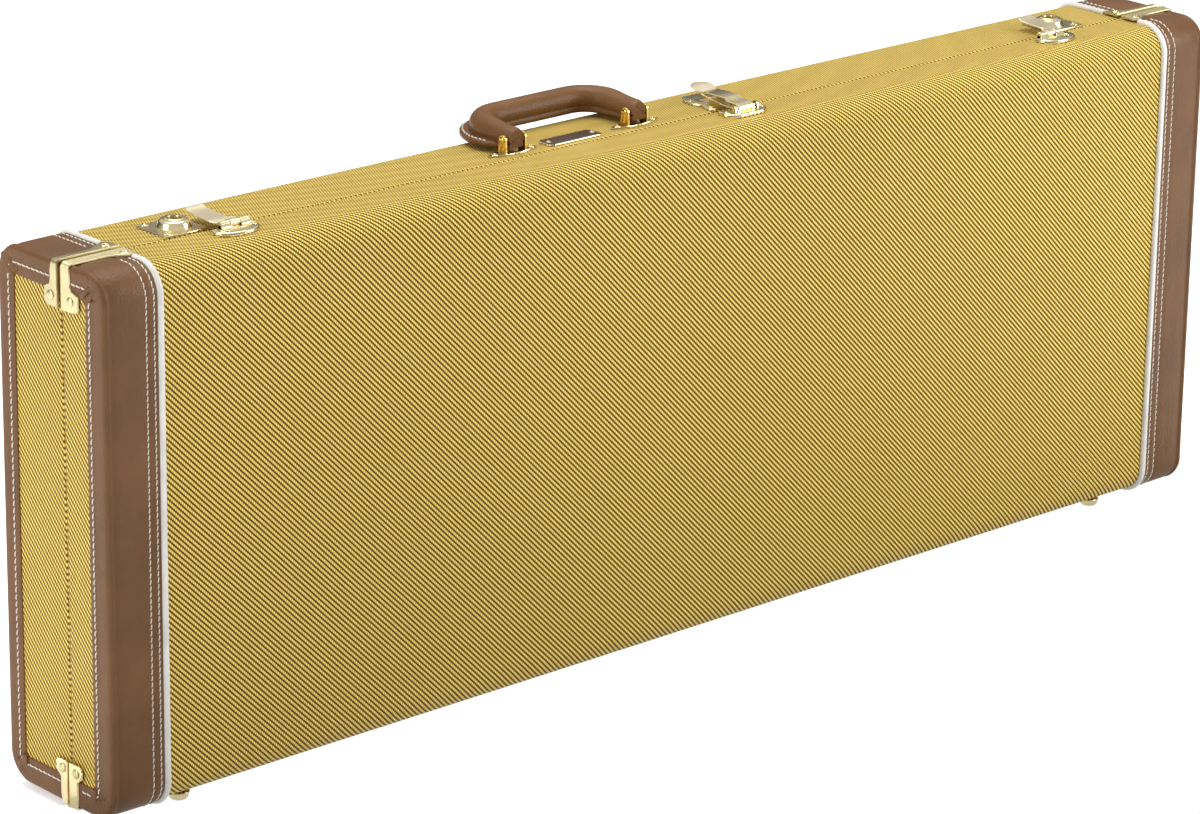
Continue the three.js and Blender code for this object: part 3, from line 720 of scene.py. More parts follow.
def add_stitches(side, half, end, word):
    build = Build()
    path = stations(side, 14, strap_clearance(side))
    for row in STITCH_ROWS:
        x = end * (LEATHER_END - row)
        points = [(x, y + (PROUD - 0.3) * ny, z + (PROUD - 0.3) * nz) for y, z, ny, nz, _, _ in path]
        stitch_line(build, points, [(0, ny, nz) for _, _, ny, nz, _, _ in path], 4.6, 4.4, 0.5)
    border = stations(side, 14, SEAM + side * (11 if side == BASE else 13))
    points, normals = [], []
    for y, z, ny, nz, turn, upper in border:
        inset = frame_width(side, nz) - 5.2 - (3.6 if nz > 0.5 else 0.0) * max(nz, 0) ** 1.5 - PROUD
        depth = pleat_depth(turn, upper) * 0.7
        points.append((end * (LEATHER_END + 0.05 - depth), y - inset * ny, z - inset * nz))
        normals.append((end, 0, 0))
    stitch_line(build, points, normals, 5.2, 5.0, 0.56)
    build.finish(f"{half}_stitches_{word}", half, THREAD, smooth=60, recalc=False)


# ---- Screws and rivets -----------------------------------------------------------------------
def basis(normal):
    """Two unit vectors that span the plane across a normal."""
    normal = Vector(normal).normalized()
    guide = Vector((1, 0, 0)) if abs(normal.x) < 0.9 else Vector((0, 1, 0))
    u = (guide - normal * guide.dot(normal)).normalized()
    return u, normal.cross(u), normal


def head(build, at, normal, radius, height, cross=True, turn=0.0, sides=36):
    """A domed head on a polar grid, with a cross recess pressed in, or plain as a rivet's."""
    u, v, n = basis(normal)
    at = Vector(at)
    radii = [1.0, 1.0, 0.96, 0.86, 0.72, 0.62, 0.56, 0.5, 0.42, 0.34, 0.26, 0.18, 0.1]
    rings = [[at + (u * math.cos(q) + v * math.sin(q)) * radius * r - n * 0.6
              for q in (2 * math.pi * k / sides for k in range(sides))] for r in (0.2, 1.0)]
    for index, r in enumerate(radii):
        ring = []
        for k in range(sides):
            q = 2 * math.pi * k / sides
            x, y = r * math.cos(q + turn), r * math.sin(q + turn)
            h = height * (0.25 if index == 0 else math.sqrt(max(0.0, 1 - (r * 0.93) ** 2)) * 0.9 + 0.1)
            if cross and index > 1:
                arm, reach = min(abs(x), abs(y)), max(abs(x), abs(y))
                if reach < 0.58 and arm < 0.13:
                    h -= height * 0.85 * (1 - (reach / 0.58) ** 3)
            ring.append(at + (u * math.cos(q) + v * math.sin(q)) * radius * r + n * h)
        rings.append(ring)
    build.loft(rings)


# ---- Corner straps ---------------------------------------------------------------------------
STRAP_PROUD = 1.5             # strap above the leather
STRAP_BEND = 3.2
# Y of a strap's edge at the seam, its far edge, the far edge at the flare and at the ear, the near edge at
# the ear, its screw and its rivet; by side, and whether the strap is at the top.
STRAP_LINES = {(BASE, True): (-10.6, -2.6, 5.0, 4.9, -10.9, -3.2, -2.9),
               (LID, True): (-14.6, -22.6, -30.1, -32.3, -14.4, -24.4, -24.6),
               (BASE, False): (-10.3, -2.4, 4.6, 3.6, -10.3, -3.4, -4.4),
               (LID, False): (-11.7, -19.6, -27.0, -25.5, -11.7, -20.4, -19.6)}


def strap_path(end, top, reach, drop):
    """Centre line of a strap's outer face in (x, z) with its outward normal: along the case, round the
    corner and down the end face."""
    x1 = LEATHER_END + STRAP_PROUD
    z1 = (TOP if top else BOTTOM) + (1 if top else -1) * (PROUD + STRAP_PROUD)
    sign = 1 if top else -1
    points = []
    for t in (0.0, 0.06, 0.14, 0.24, 0.36, 0.5, 0.65, 0.8, 0.92):
        points.append((LEATHER_END - reach + (reach - STRAP_BEND) * t, z1, 0.0))
    for k in range(7):
        angle = 90 * k / 6
        a = math.radians(angle)
        x, z = x1 - STRAP_BEND + STRAP_BEND * math.sin(a), z1 - sign * STRAP_BEND * (1 - math.cos(a))
        points.append((x, z, angle))
    for t in (0.18, 0.32, 0.42, 0.5, 0.58, 0.7, 0.82, 0.92, 0.97, 1.0):
        points.append((x1, z1 - sign * (STRAP_BEND + (drop - STRAP_BEND) * t), 90.0))
    turned = [(x, z, math.radians(angle)) for x, z, angle in points]
    return [(end * x, z, end * math.sin(a), sign * math.cos(a)) for x, z, a in turned]


def blend_step(value, low, high):
    t = max(0.0, min(1.0, (value - low) / (high - low)))
    return t * t * (3 - 2 * t)


def add_straps():
    for side, half in SIDES.items():
        screws, rivets = Build(), Build()
        for end, word in ENDS.items():
            for top in (True, False):
                add_strap(side, half, end, word, top, screws, rivets)
        screws.finish(f"{half}_strap_screws", half, BRASS, smooth=50)
        rivets.finish(f"{half}_strap_rivets", half, SATIN, smooth=50)


def add_strap(side, half, end, word, top, screws, rivets):
    place = "top" if top else "foot"
    node = f"{half}_strap_{place}_{word}"
    low, high = box_mm(node)
    reach = LEATHER_END - min(abs(low.x), abs(high.x))
    path = strap_path(end, top, reach, high.z - low.z)
    seam_edge, far_edge, flare_far, ear_far, ear_near, screw_y, rivet_y = STRAP_LINES[side, top]
    thick = STRAP_PROUD - 0.1
    run = lengths([(x, z) for x, z, _, _ in path])
    total = run[-1]
    rings = []
    for (x, z, nx, nz), s in zip(path, run):
        flare = 1 - blend_step(s, 4.0, reach * 0.42)
        left = total - s
        ear = (1 - blend_step(abs(left - 7.0), 6.2, 8.4)) if top else (1 - blend_step(left, 9.0, 12.0))
        step = blend_step(s, reach + 6.0, reach + 9.0)
        a = seam_edge + (ear_near - seam_edge) * ear
        b = far_edge + (flare_far - far_edge) * flare + (ear_far - far_edge) * ear
        b += side * 1.1 * step * (1 - ear)
        tip = blend_step(left, -0.1, 1.6)
        b = a + (b - a) * (0.8 + 0.2 * tip)
        start = blend_step(s, -0.1, 1.8)
        b = a + (b - a) * (0.85 + 0.15 * start)
        rib = 0.75 if side == BASE else 0.35
        edge = 0.7 if b > a else -0.7
        section = [(a, -thick), (a, -0.35), (a + edge * 0.5, rib), (a + edge * 1.6, rib),
                   (a + edge * 2.6, 0.0), (b - edge * 1.9, 0.0), (b - edge * 0.7, -0.28),
                   (b, -thick + 0.35), (b, -thick)]
        rings.append([(x + nx * n, y, z + nz * n) for y, n in section])
    look = SATIN if top else BRASS
    Build().loft(rings).finish(f"{half}_corner_strap_{place}_{word}", half, look, [node], smooth=32)
    sign = 1 if top else -1
    top_z = (TOP if top else BOTTOM) + sign * (PROUD + STRAP_PROUD)
    screw_x = end * (LEATHER_END - reach + 6.6)
    head(screws, (screw_x, screw_y, top_z), (0, 0, sign), 3.3, 1.1, True, 0.5 + end)
    end_z = path[-1][1] + sign * (7.4 if top else 6.0)
    head(rivets, (end * (LEATHER_END + STRAP_PROUD), rivet_y, end_z), (end, 0, 0), 3.4, 1.7, False)


# ---- Latches ---------------------------------------------------------------------------------
HOOD = TOP                    # tweed level that the latches lie on
LOCK_TOP = HOOD + METAL + 0.2
HASP_PIN_Y, HASP_PIN_Z = -20.0, HOOD + 4.6
DRAW_PIN_Y, DRAW_PIN_Z = -27.0, HOOD + 5.0


def raised(points):
    """(y, height above the tweed) pairs as (y, z)."""
    return [(y, HOOD + z) for y, z in points]


def add_screws(name, body, places, radius, height, up=1):
    """Cross-head screws in one piece, each at (x, y, z) and turned by a fourth number, in radians."""
    build = Build()
    for *at, turn in places:
        head(build, at, (0, 0, up), radius, height, True, turn)
    build.finish(name, body, BRASS, smooth=50)


def pressed(build, shape, middle, steps):
    """A pressed plate: its outline drawn in towards the middle, at rising heights above the tweed."""
    rings = []
    for by, z in steps:
        drawn = [Vector(p) + (middle - Vector(p)).normalized() * by for p in shape]
        rings.append([(*p, HOOD + z) for p in drawn])
    build.loft(rings)


def plate(build, shape, bottom, top, edge=0.35):
    """A flat plate with a softened top edge."""
    middle = Vector((sum(p[0] for p in shape), sum(p[1] for p in shape))) / len(shape)
    inner = [Vector(p) + (middle - Vector(p)).normalized() * edge for p in shape]
    build.loft([[(x, y, z) for x, y in points]
                for points, z in ((shape, bottom), (shape, top - edge), (inner, top))])


def strip(build, path, widths, thick, edge=0.3):
    """A bent strip. path is (y, z) of its upper face, widths the (x0, x1) at each point."""
    rings = []
    for i, ((y, z), (x0, x1)) in enumerate(zip(path, widths)):
        a, b = Vector(path[max(i - 1, 0)]), Vector(path[min(i + 1, len(path) - 1)])
        d = (b - a).normalized()
        n = Vector((-d.y, d.x))
        if n.y < 0:
            n = -n
        down = (y - n.x * thick, z - n.y * thick)
        mid = (y - n.x * edge, z - n.y * edge)
        low = (y - n.x * (thick - edge), z - n.y * (thick - edge))
        rings.append([(x0 + edge, y, z), (x0, *mid), (x0, *low), (x0 + edge, *down),
                      (x1 - edge, *down), (x1, *low), (x1, *mid), (x1 - edge, y, z)])
    build.loft(rings)


def add_lock(end, word):
    plug_low, plug_high = box_mm(f"lock_plug_{word}")
    plate_low, plate_high = box_mm(f"lock_plate_{word}")
    x0, y0 = (plug_low.x + plug_high.x) / 2, (plug_low.y + plug_high.y) / 2
    inward = -end
    face = Build()
    a, b = sorted((x0 - inward * 21, x0 + inward * 15))
    corners = [(a, plate_low.y), (b, plate_low.y), (b, plate_high.y), (a, plate_high.y)]
    plate(face, softened(corners, 2.0, 3), HOOD + 0.1, LOCK_TOP)
    dome = ((4.4, 0.4), (12.6, 0.6), (12.4, 1.6), (11.9, 2.2), (11.1, 4.7), (10.6, 5.6), (9.8, 6.2),
            (8.8, 6.5), (7.6, 6.6), (7.2, 7.1), (6.7, 7.4), (5.2, 7.4), (4.6, 7.2), (4.45, 6.6), (4.4, 1.6))
    sides = 48
    turns = [2 * math.pi * k / sides for k in range(sides)]
    face.loft([[(x0 + radius * math.cos(q), y0 + radius * math.sin(q), HOOD + z) for q in turns]
               for radius, z in dome])
    face.finish(f"lock_body_{word}", "base", BRASS, [f"lock_plate_{word}"], smooth=40)

    plug = Build()
    plug.turned([(0.2, 1.7), (4.15, 1.7), (4.2, 6.2), (4.0, 6.7), (3.6, 6.9), (2.9, 6.95),
                 (1.5, 6.9), (0.2, 6.75)], (x0, y0, HOOD), 40)
    plug.finish(f"key_plug_{word}", f"lock_plug_{word}", GOLD, [f"lock_plug_{word}"], smooth=40)
    # The keyway is a thin dark plate on the plug's face: painted shade where the slot's recess would be, with
    # no hole cut.
    slot = Build()
    slot.prism(rounded(x0 - 0.55, x0 + 0.55, y0 - 2.6, y0 + 2.6, 0.5, 3), "z", HOOD + 6.4, HOOD + 7.02)
    slot.finish(f"keyway_painted_shade_{word}", f"lock_plug_{word}", BADGE)
    add_hasp(word, x0, inward)
    add_hasp_keeper(word, x0, inward)
    places = [(x0 + dx * inward, y0 + dy, LOCK_TOP, 0.4) for dx, dy in ((-15.0, 12.8), (-15.2, -12.2))]
    add_screws(f"lock_screws_{word}", "base", places, 3.0, 0.8)


def add_hasp(word, x0, inward):
    """The flap that folds over the lock, with its arm and middle knuckle."""
    pin_x = x0 + inward * 29.0
    flap = Build()
    a, b = sorted((x0 + inward * 13.2, x0 + inward * 29.4))
    path = [(HASP_PIN_Y + 2.0, HASP_PIN_Z + 1.4)]
    path += raised(((-14.5, 7.0), (-10.0, 7.3), (-4.0, 7.5), (4.0, 7.9), (9.0, 8.4),
                    (12.0, 9.1), (13.8, 9.7), (14.9, 9.6), (15.2, 8.9)))
    trims = (3.0, 0.6, 0, 0, 0, 0, 0, 0.3, 1.0, 1.8)
    strip(flap, path, [(a + trim, b - trim) for trim in trims], 1.5, 0.45)
    flap.rod("x", 2.6, -4.2, 4.2, (pin_x, HASP_PIN_Y, HASP_PIN_Z), 28, 0.3)
    arm = [(HASP_PIN_Y + 1.2, HASP_PIN_Z + 2.4)] + raised(((-17.4, 6.9), (-15.4, 7.3)))
    strip(flap, arm, [(pin_x - 4.1, pin_x + 4.1)] * 3, 1.5, 0.3)
    flap.finish(f"hasp_flap_{word}", f"hasp_{word}", PALE, [f"hasp_{word}"], smooth=40)


def add_hasp_keeper(word, x0, inward):
    """The half-round plate on the lid that the hasp is hinged to, with its two outer knuckles."""
    pin_x = x0 + inward * 29.0
    keeper = Build()
    a, b = sorted((x0 + inward * 8.6, x0 + inward * 45.4))
    middle = Vector(((a + b) / 2, -27.0))
    shape = [(a + 1.6, -19.3), (b - 1.6, -19.3), (b, -21.0), (b - 0.4, -26.0)]
    for k in range(1, 10):
        angle = math.radians(180 * k / 10)
        shape.append(((a + b) / 2 + 17.6 * math.cos(angle), -27.0 - 9.6 * math.sin(angle)))
    shape += [(a + 0.4, -26.0), (a, -21.0)]
    pressed(keeper, shape, middle, ((0.1, 0.1), (0.0, 0.5), (0.1, 1.9), (0.45, 2.55), (1.0, 2.9), (1.8, 3.0)))
    rise = raised(((-26.5, 2.9), (-24.4, 3.3), (-22.9, 4.9), (-21.6, 6.6), (-20.0, 7.1)))
    spread = (1.6, 0.7, 0.2, 0.0, 0.0)
    half = 3.9                # half a knuckle's length
    for along in (-8.4, 8.4):
        strip(keeper, rise, [(pin_x + along - half - w, pin_x + along + half + w) for w in spread], 1.2, 0.3)
    foot = ((-half, -2.5), (half, -2.5), (half, 1.2), (-half, 1.2))
    for along in (-8.3, 8.3):
        keeper.rod("x", 2.6, along - half, along + half, (pin_x, HASP_PIN_Y, HASP_PIN_Z), 28, 0.3)
        keeper.loft([[(pin_x + along + dx, HASP_PIN_Y + dy, HOOD + z) for dx, dy in foot]
                     for z in (0.6, 4.4)])
    keeper.finish(f"hasp_keeper_{word}", "lid", BRASS, [f"hasp_plate_{word}"], smooth=40)
    add_screws(f"keeper_screws_{word}", "lid",
               [(x0 + inward * at, y, HOOD + 3.0, at) for at, y in ((17.5, -27.0), (41.5, -25.0))], 2.9, 0.7)


# ---- the draw latch in the middle ------------------------------------------------------------
def pan(build, x0, right_half, top):
    """A pressed plate that is the same on both sides of the latch's middle."""
    left_half = [(x0 - x, y) for x, y in right_half[::-1]]
    shape = softened([(x0 + x, y) for x, y in right_half] + left_half, 1.8, 3)
    middle = Vector((x0, sum(y for _, y in shape) / len(shape)))
    pressed(build, shape, middle,
            ((0.1, 0.1), (0.0, 0.4), (0.1, top - 0.9), (0.4, top - 0.3), (0.9, top - 0.05), (1.5, top)))


def add_draw_latch():
    low, high = box_mm("draw_lever")
    x0 = (low.x + high.x) / 2
    add_draw_plates(x0)
    add_draw_lever(x0)
    claw = Build()
    path = raised(((-19.6, 5.8), (-17.0, 6.6), (-12.0, 6.9), (-2.0, 6.7), (3.0, 6.2), (5.6, 5.2), (6.8, 3.6)))
    strip(claw, path, [(x0 - 4.6, x0 + 4.6)] * len(path), 1.4, 0.35)
    claw.rod("x", 1.8, -4.6, 4.6, (x0, -18.0, HOOD + 5.2), 20, 0.3)
    claw.finish("draw_claw_hook", "draw_claw", SATIN, ["draw_claw"], smooth=40)


def add_draw_plates(x0):
    low, high = box_mm("draw_catch_plate")
    half = (high.x - low.x) / 2
    catch = Build()
    pan(catch, x0, [(half - 3, -10.4), (half, -8.0), (half - 0.5, -1.0), (half - 3.5, 5.0),
                    (half - 0.5, 11.0), (half - 1.5, 22.0), (half - 7.0, 30.3)], 2.1)
    hook = raised(((-3.2, 1.8), (-3.0, 2.5), (-1.5, 2.9), (1.5, 2.9), (3.0, 2.5), (3.2, 1.8)))
    catch.prism([(14 + y, z) for y, z in hook], "x", x0 - 8, x0 + 8)
    catch.finish("draw_catch", "base", BRASS, ["draw_catch_plate"], smooth=40)
    add_screws("draw_catch_screws", "base",
               [(x0 + dx, y, HOOD + 2.1, dx + y) for dx in (-13.0, 13.0) for y in (-5.0, 17.0)], 2.6, 0.7)

    low, high = box_mm("draw_plate")
    half = (high.x - low.x) / 2
    keeper = Build()
    pan(keeper, x0, [(12.0, -35.9), (half - 2.5, -31.5), (half, -27.0), (half - 2.2, -23.0),
                     (half - 1.6, -19.0), (half - 4.0, -17.1)], 2.9)
    ear = raised(((-30.0, 0.8), (-29.8, 6.0), (-28.4, 7.6), (-25.6, 7.6), (-24.2, 6.0), (-24.0, 0.8)))
    for dx in (-11.0, 11.0):
        keeper.prism(ear, "x", x0 + dx - 0.7, x0 + dx + 0.7)
    keeper.rod("x", 1.3, -12.2, 12.2, (x0, DRAW_PIN_Y, DRAW_PIN_Z), 20, 0.3)
    keeper.finish("draw_keeper", "lid", BRASS, ["draw_plate"], smooth=40)
    places = [(x0 + dx, -26.0, HOOD + 2.9, dx) for dx in (-17.0, 17.0)]
    add_screws("draw_keeper_screws", "lid", places, 2.7, 0.7)


def add_draw_lever(x0):
    lever, tab = Build(), Build()
    path = raised(((-30.0, 4.6), (-29.4, 6.6), (-27.4, 7.8), (-23.8, 8.3), (-17.4, 8.4), (-15.6, 8.8),
                   (-14.4, 10.0), (-13.0, 10.3), (-4.0, 10.4), (4.0, 10.2), (9.6, 9.9), (10.6, 9.2),
                   (10.8, 8.0)))
    half_widths = (5.4, 6.6, 7.2, 7.5, 7.5, 7.5, 7.6, 7.6, 7.5, 7.2, 6.4, 6.0, 5.6)
    strip(lever, path, [(x0 - w, x0 + w) for w in half_widths], 1.5, 0.45)
    rail = raised(((-29.4, 4.4), (-24.0, 4.6), (-14.0, 5.2), (-4.0, 6.2), (6.0, 7.6), (10.6, 8.6)))
    for dx in (-7.3, 7.3):
        strip(lever, rail, [(x0 + dx - 1.3, x0 + dx + 1.3)] * len(rail), 1.1, 0.3)
    thumb, widths = [], []
    for t in (k / 14 for k in range(15)):
        w = 9.4 * math.sqrt(max(0.0, 1 - (2 * t - 0.94) ** 2)) + 0.5
        thumb.append((8.6 + 18.4 * t, HOOD + 8.6 + 3.6 * blend_step(t, -0.2, 0.8)))
        widths.append((x0 - w, x0 + w))
    strip(tab, thumb, widths, 1.3, 0.4)
    tab.finish("draw_thumb_tab", "draw_lever", PALE, smooth=40)
    lever.rod("x", 2.4, -7.6, 7.6, (x0, DRAW_PIN_Y, DRAW_PIN_Z), 24, 0.3)
    lever.finish("draw_lever_arm", "draw_lever", BRASS, ["draw_lever"], smooth=40)


# ---- Handle, name plate, feet and hinges -----------------------------------------------------
GRIP_RADIUS = 9.4
GRIP_DEPTH = 48.5             # from the pins to the middle of the roll
GRIP_BEND = 24.0
GRIP_TILT = math.radians(1.7)
GRIP_LIFT = 0.4
FLANGE = 6.6                  # how far the sewn flange stands out past the roll


def grip_path(centre_x, span, depth, bend):
    """Centre line of the handle in its own plane: (x, reach) with the outward direction (ox, oy)."""
    left, right = centre_x - span / 2, centre_x + span / 2
    points = [(left, reach, -1.0, 0.0) for reach in (-4.5, -1.0, 3.0, 8.0, 14.0, depth - bend)]
    for k in range(1, 9):
        a = math.radians(90 * k / 8)
        reach = depth - bend + bend * math.sin(a)
        points.append((left + bend * (1 - math.cos(a)), reach, -math.cos(a), math.sin(a)))
    for k in range(1, 12):
        points.append((left + bend + (span - 2 * bend) * k / 12, depth, 0.0, 1.0))
    for k in range(8, -1, -1):
        a = math.radians(90 * k / 8)
        reach = depth - bend + bend * math.sin(a)
        points.append((right - bend * (1 - math.cos(a)), reach, math.cos(a), math.sin(a)))
    points += [(right, reach, 1.0, 0.0) for reach in (14.0, 8.0, 3.0, -1.0, -4.5)]
    return points


def grip_section(size, flange):
    """(outwards, up) points of the grip: a stuffed roll over a flat sewn flange on its outer side."""
    r = GRIP_RADIUS * size
    reach = r + 0.4 + FLANGE * flange
    top, bottom = -4.1 * size, -9.1 * size
    points = []
    for angle in range(-24, 196, 11):
        a = math.radians(angle)
        points.append((r * math.cos(a), r * math.sin(a) * (1.0 if angle > 0 else 0.98)))
    points += [(-r * 0.80, -4.0 * size), (-r * 0.90, -5.2 * size), (-r * 0.93, bottom + 1.6),
               (-r * 0.80, bottom + 0.3), (-r * 0.55, bottom), (r * 0.3, bottom), (reach - 1.4, bottom + 0.1),
               (reach - 0.4, bottom + 0.7), (reach, bottom + 2.2), (reach - 0.1, top - 1.4),
               (reach - 0.9, top - 0.4), (r + 0.9, top - 0.15), (r * 0.95, top - 0.45)]
    return points


def add_handle():
    mounts = [box_mm(f"handle_mount_{word}") for word in ENDS.values()]
    centres = [(low.x + high.x) / 2 for low, high in mounts]
    pin_low, pin_high = box_mm("handle_pin_left")
    pin_y, pin_z = (pin_low.y + pin_high.y) / 2, (pin_low.z + pin_high.z) / 2
    add_grip(sum(centres) / 2, centres[1] - centres[0], pin_y, pin_z)
    for word, centre in zip(ENDS.values(), centres):
        add_handle_mount(word, centre, pin_y, pin_z)


def add_grip(middle, span, pin_y, pin_z):
    def place(x, q, ox, oq, out, up):
        """A point of the grip: along the path, then outwards and upwards in the tilted handle's plane."""
        reach = q + oq * out
        return (x + ox * out, pin_y + reach * math.cos(GRIP_TILT) - up * math.sin(GRIP_TILT),
                pin_z + reach * math.sin(GRIP_TILT) + up * math.cos(GRIP_TILT) + GRIP_LIFT)

    path = grip_path(middle, span, GRIP_DEPTH, GRIP_BEND)
    run = lengths([station[:2] for station in path])
    grip, threads = Build(), Build()
    rings, seam, normals = [], [], []
    for station, s in zip(path, run):
        near = min(s, run[-1] - s)
        size = 0.83 + 0.17 * blend_step(near, 8.0, 34.0)
        flange = blend_step(near, 7.0, 20.0)
        end = 0.86 + 0.14 * blend_step(near, -0.1, 2.4)
        rings.append([place(*station, out * end, up * end) for out, up in grip_section(size, flange)])
        if near > 14:
            out = GRIP_RADIUS * size + 0.4 + FLANGE * flange - 2.4
            seam.append(place(*station, out, -4.1 * size - 0.22))
            normals.append((0, -math.sin(GRIP_TILT), math.cos(GRIP_TILT)))
    grip.loft(rings)
    grip.finish("handle_strap", "handle", HANDLE_LEATHER, ["handle_grip"], smooth=55)
    stitch_line(threads, seam, normals, 4.0, 3.4, 0.5)
    threads.finish("handle_stitches", "handle", THREAD, smooth=60, recalc=False)


def add_handle_mount(word, centre, pin_y, pin_z):
    """A pointed oval plate with two ears, the pin between them and two screws."""
    foot, mount, pin = Build(), Build(), Build()
    shape = []
    for a in (2 * math.pi * k / 24 for k in range(24)):
        power = abs(math.sin(a)) ** 1.25 * (1 if math.sin(a) >= 0 else -1)
        shape.append((centre + 23 * math.cos(a), pin_y + 5.5 * power))
    plate_top = HOOD + METAL + 0.4
    plate(foot, shape, HOOD + 0.2, plate_top, 0.4)
    foot.finish(f"handle_plate_{word}", "base", BRASS, smooth=40)
    ear = [(pin_y - 4.2, HOOD + 0.9), (pin_y + 4.2, HOOD + 0.9)]
    for a in (math.radians(180 * k / 8) for k in range(9)):
        ear.append((pin_y + 3.7 * math.cos(a), pin_z + 3.6 * math.sin(a)))
    for dx in (-9.25, 9.25):
        mount.prism(ear, "x", centre + dx - 0.95, centre + dx + 0.95)
    mount.finish(f"handle_post_{word}", "base", GOLD, [f"handle_mount_{word}"], bevel=0.35)
    pin.rod("x", 1.6, -11.0, 11.0, (centre, pin_y, pin_z), 20, 0.2)
    for sign in (-1, 1):
        head(pin, (centre + sign * 10.35, pin_y, pin_z), (sign, 0, 0), 2.6, 1.1, False)
    pin.finish(f"handle_rivet_{word}", "base", GOLD, [f"handle_pin_{word}"], smooth=45)
    add_screws(f"handle_screws_{word}", "base",
               [(centre + dx, pin_y, plate_top, dx) for dx in (-17.0, 17.0)], 2.6, 0.8)


def add_name_plate():
    low, high = box_mm("name_plate")
    x0, x1, y0, y1 = low.x, high.x, low.y, high.y
    cut = 2.6
    shape = softened([(x0 + cut, y0), (x1 - cut, y0), (x1, y0 + cut), (x1, y1 - cut),
                      (x1 - cut, y1), (x0 + cut, y1), (x0, y1 - cut), (x0, y0 + cut)], 1.0, 3)
    rim, panel = Build(), Build()
    plate(rim, shape, low.z, low.z + 1.15, 0.3)
    rim.finish("name_plate_edge", "base", BRASS, ["name_plate"], smooth=40)
    middle = Vector(((x0 + x1) / 2, (y0 + y1) / 2))
    margin = 1.4
    shrink_x, shrink_y = 1 - margin / (x1 - x0), 1 - margin / (y1 - y0)
    inner = [(middle.x + (x - middle.x) * shrink_x, middle.y + (y - middle.y) * shrink_y) for x, y in shape]
    plate(panel, inner, low.z + 0.5, high.z - 0.1, 0.4)
    panel.finish("name_plate_face", "base", BADGE, smooth=40)
    add_screws("name_plate_screws", "base",
               [(x, middle.y, high.z - 0.15, x) for x in (x0 + 4.0, x1 - 4.0)], 2.2, 0.6)


def add_feet():
    for half in SIDES.values():
        feet = Build()
        nodes = [f"{half}_foot_{word}" for word in ENDS.values()]
        screws = []
        for node in nodes:
            low, high = box_mm(node)
            x, y = (low.x + high.x) / 2, (low.y + high.y) / 2
            feet.turned(foot_profile((high.x - low.x) / 2, high.z), (x, y, 0), 48)
            screws.append((x, y, 0.9, 0.3))
        feet.finish(f"{half}_feet", half, BRASS, nodes, smooth=50)
        add_screws(f"{half}_foot_screws", half, screws, 2.2, 0.55, up=-1)


def foot_profile(radius, tall):
    """(radius, height) from the case down round the dome to the recess of its screw."""
    tread = 4.7
    profile = [(radius - 0.3, tall), (radius, tall - 0.3), (radius, tall - 0.9),
               (radius - 0.25, tall - 1.2), (radius - 0.5, tall - 1.6)]
    for k in range(1, 9):
        a = math.radians(90 * k / 8)
        out = tread + (radius - 0.5 - tread) * math.cos(a)
        profile.append((out, (tall - 1.6) * (1 - math.sin(a)) * 0.98))
    return profile + [(4.2, 0.05), (3.2, 0.0), (2.6, 0.0), (2.4, 0.25), (0.3, 0.3)]


HINGES = ("left", "middle", "right")


def add_hinges():
    for half, screw_y in (("base", 1.2), ("lid", -23.2)):
        screws = []
        for place in HINGES:
            node = f"hinge_{half}_leaf_{place}"
            soften(dress(node, BRASS), 0.25)
            low, high = box_mm(node)
            middle = (low.x + high.x) / 2
            screws += [(middle + dx, screw_y, low.z + 3.9, dx) for dx in (-24.0, 0.0, 24.0)]
        add_screws(f"hinge_{half}_screws", half, screws, 2.8, 0.8, up=-1)
    for place in HINGES:
        dress(f"hinge_pin_{place}", GOLD)


def soften(item, width):
    """Rounds a kept CAD node's edges with a modifier, which leaves its mesh alone."""
    modifier = item.modifiers.new("edges", "BEVEL")
    modifier.width = width * MM
    modifier.segments = 2
    modifier.limit_method = "ANGLE"
    modifier.angle_limit = math.radians(40)


# ---- Inside ----------------------------------------------------------------------------------
def tray(node, open_y, floor_y):
    """A lining: a tray with round corners, a folded rim and a coved floor. Returns its rings."""
    low, high = box_mm(node)
    into = 1 if floor_y > open_y else -1
    depth = abs(floor_y - open_y)
    wall, radius, cove, flat = 2.3, 9.0, 7.0, 4.0
    inner_cove = cove - 1.5

    def ring(inset, deep):
        corner = max(radius - inset, 1.0)
        shape = rounded(low.x + inset, high.x - inset, low.z + inset, high.z - inset, corner, 8)
        return [(x, open_y + into * deep, z) for x, z in shape]

    rings = [ring(cove + flat, depth)]
    for a in (math.radians(90 - 90 * k / 4) for k in range(5)):
        rings.append(ring(cove * (1 - math.cos(a)), depth - cove * (1 - math.sin(a))))
    rings.append(ring(0.0, wall * 0.5))
    for a in (math.radians(180 * k / 6) for k in range(1, 6)):
        rings.append(ring(wall / 2 * (1 - math.cos(a)), wall * 0.5 * (1 - math.sin(a))))
    rings.append(ring(wall, wall))
    for a in (math.radians(90 * k / 4) for k in range(5)):
        rings.append(ring(wall + inner_cove * (1 - math.cos(a)),
                          depth - wall - inner_cove * (1 - math.sin(a))))
    rings.append(ring(wall + cove + flat, depth - wall))
    return rings


def add_linings():
    for half in SIDES.values():
        low, high = box_mm(f"{half}_lining")
        open_y, floor_y = (low.y, high.y) if half == "base" else (high.y, low.y)
        lining = Build().loft(tray(f"{half}_lining", open_y, floor_y))
        lining.finish(f"{half}_plush", half, PLUSH, [f"{half}_lining"], smooth=60)


PAD_SHRINK = 2.0 * MM          # taken off each side before the pad is blown up
PAD_SWELL = 5.0 * MM           # the most that the simulation may move a point
PAD_VOXEL = 5.5 * MM
PAD_MARGIN = 0.2 * MM          # kept inside the CAD pad's box
PAD_PRESSURE = 4
PAD_FRAMES = 20


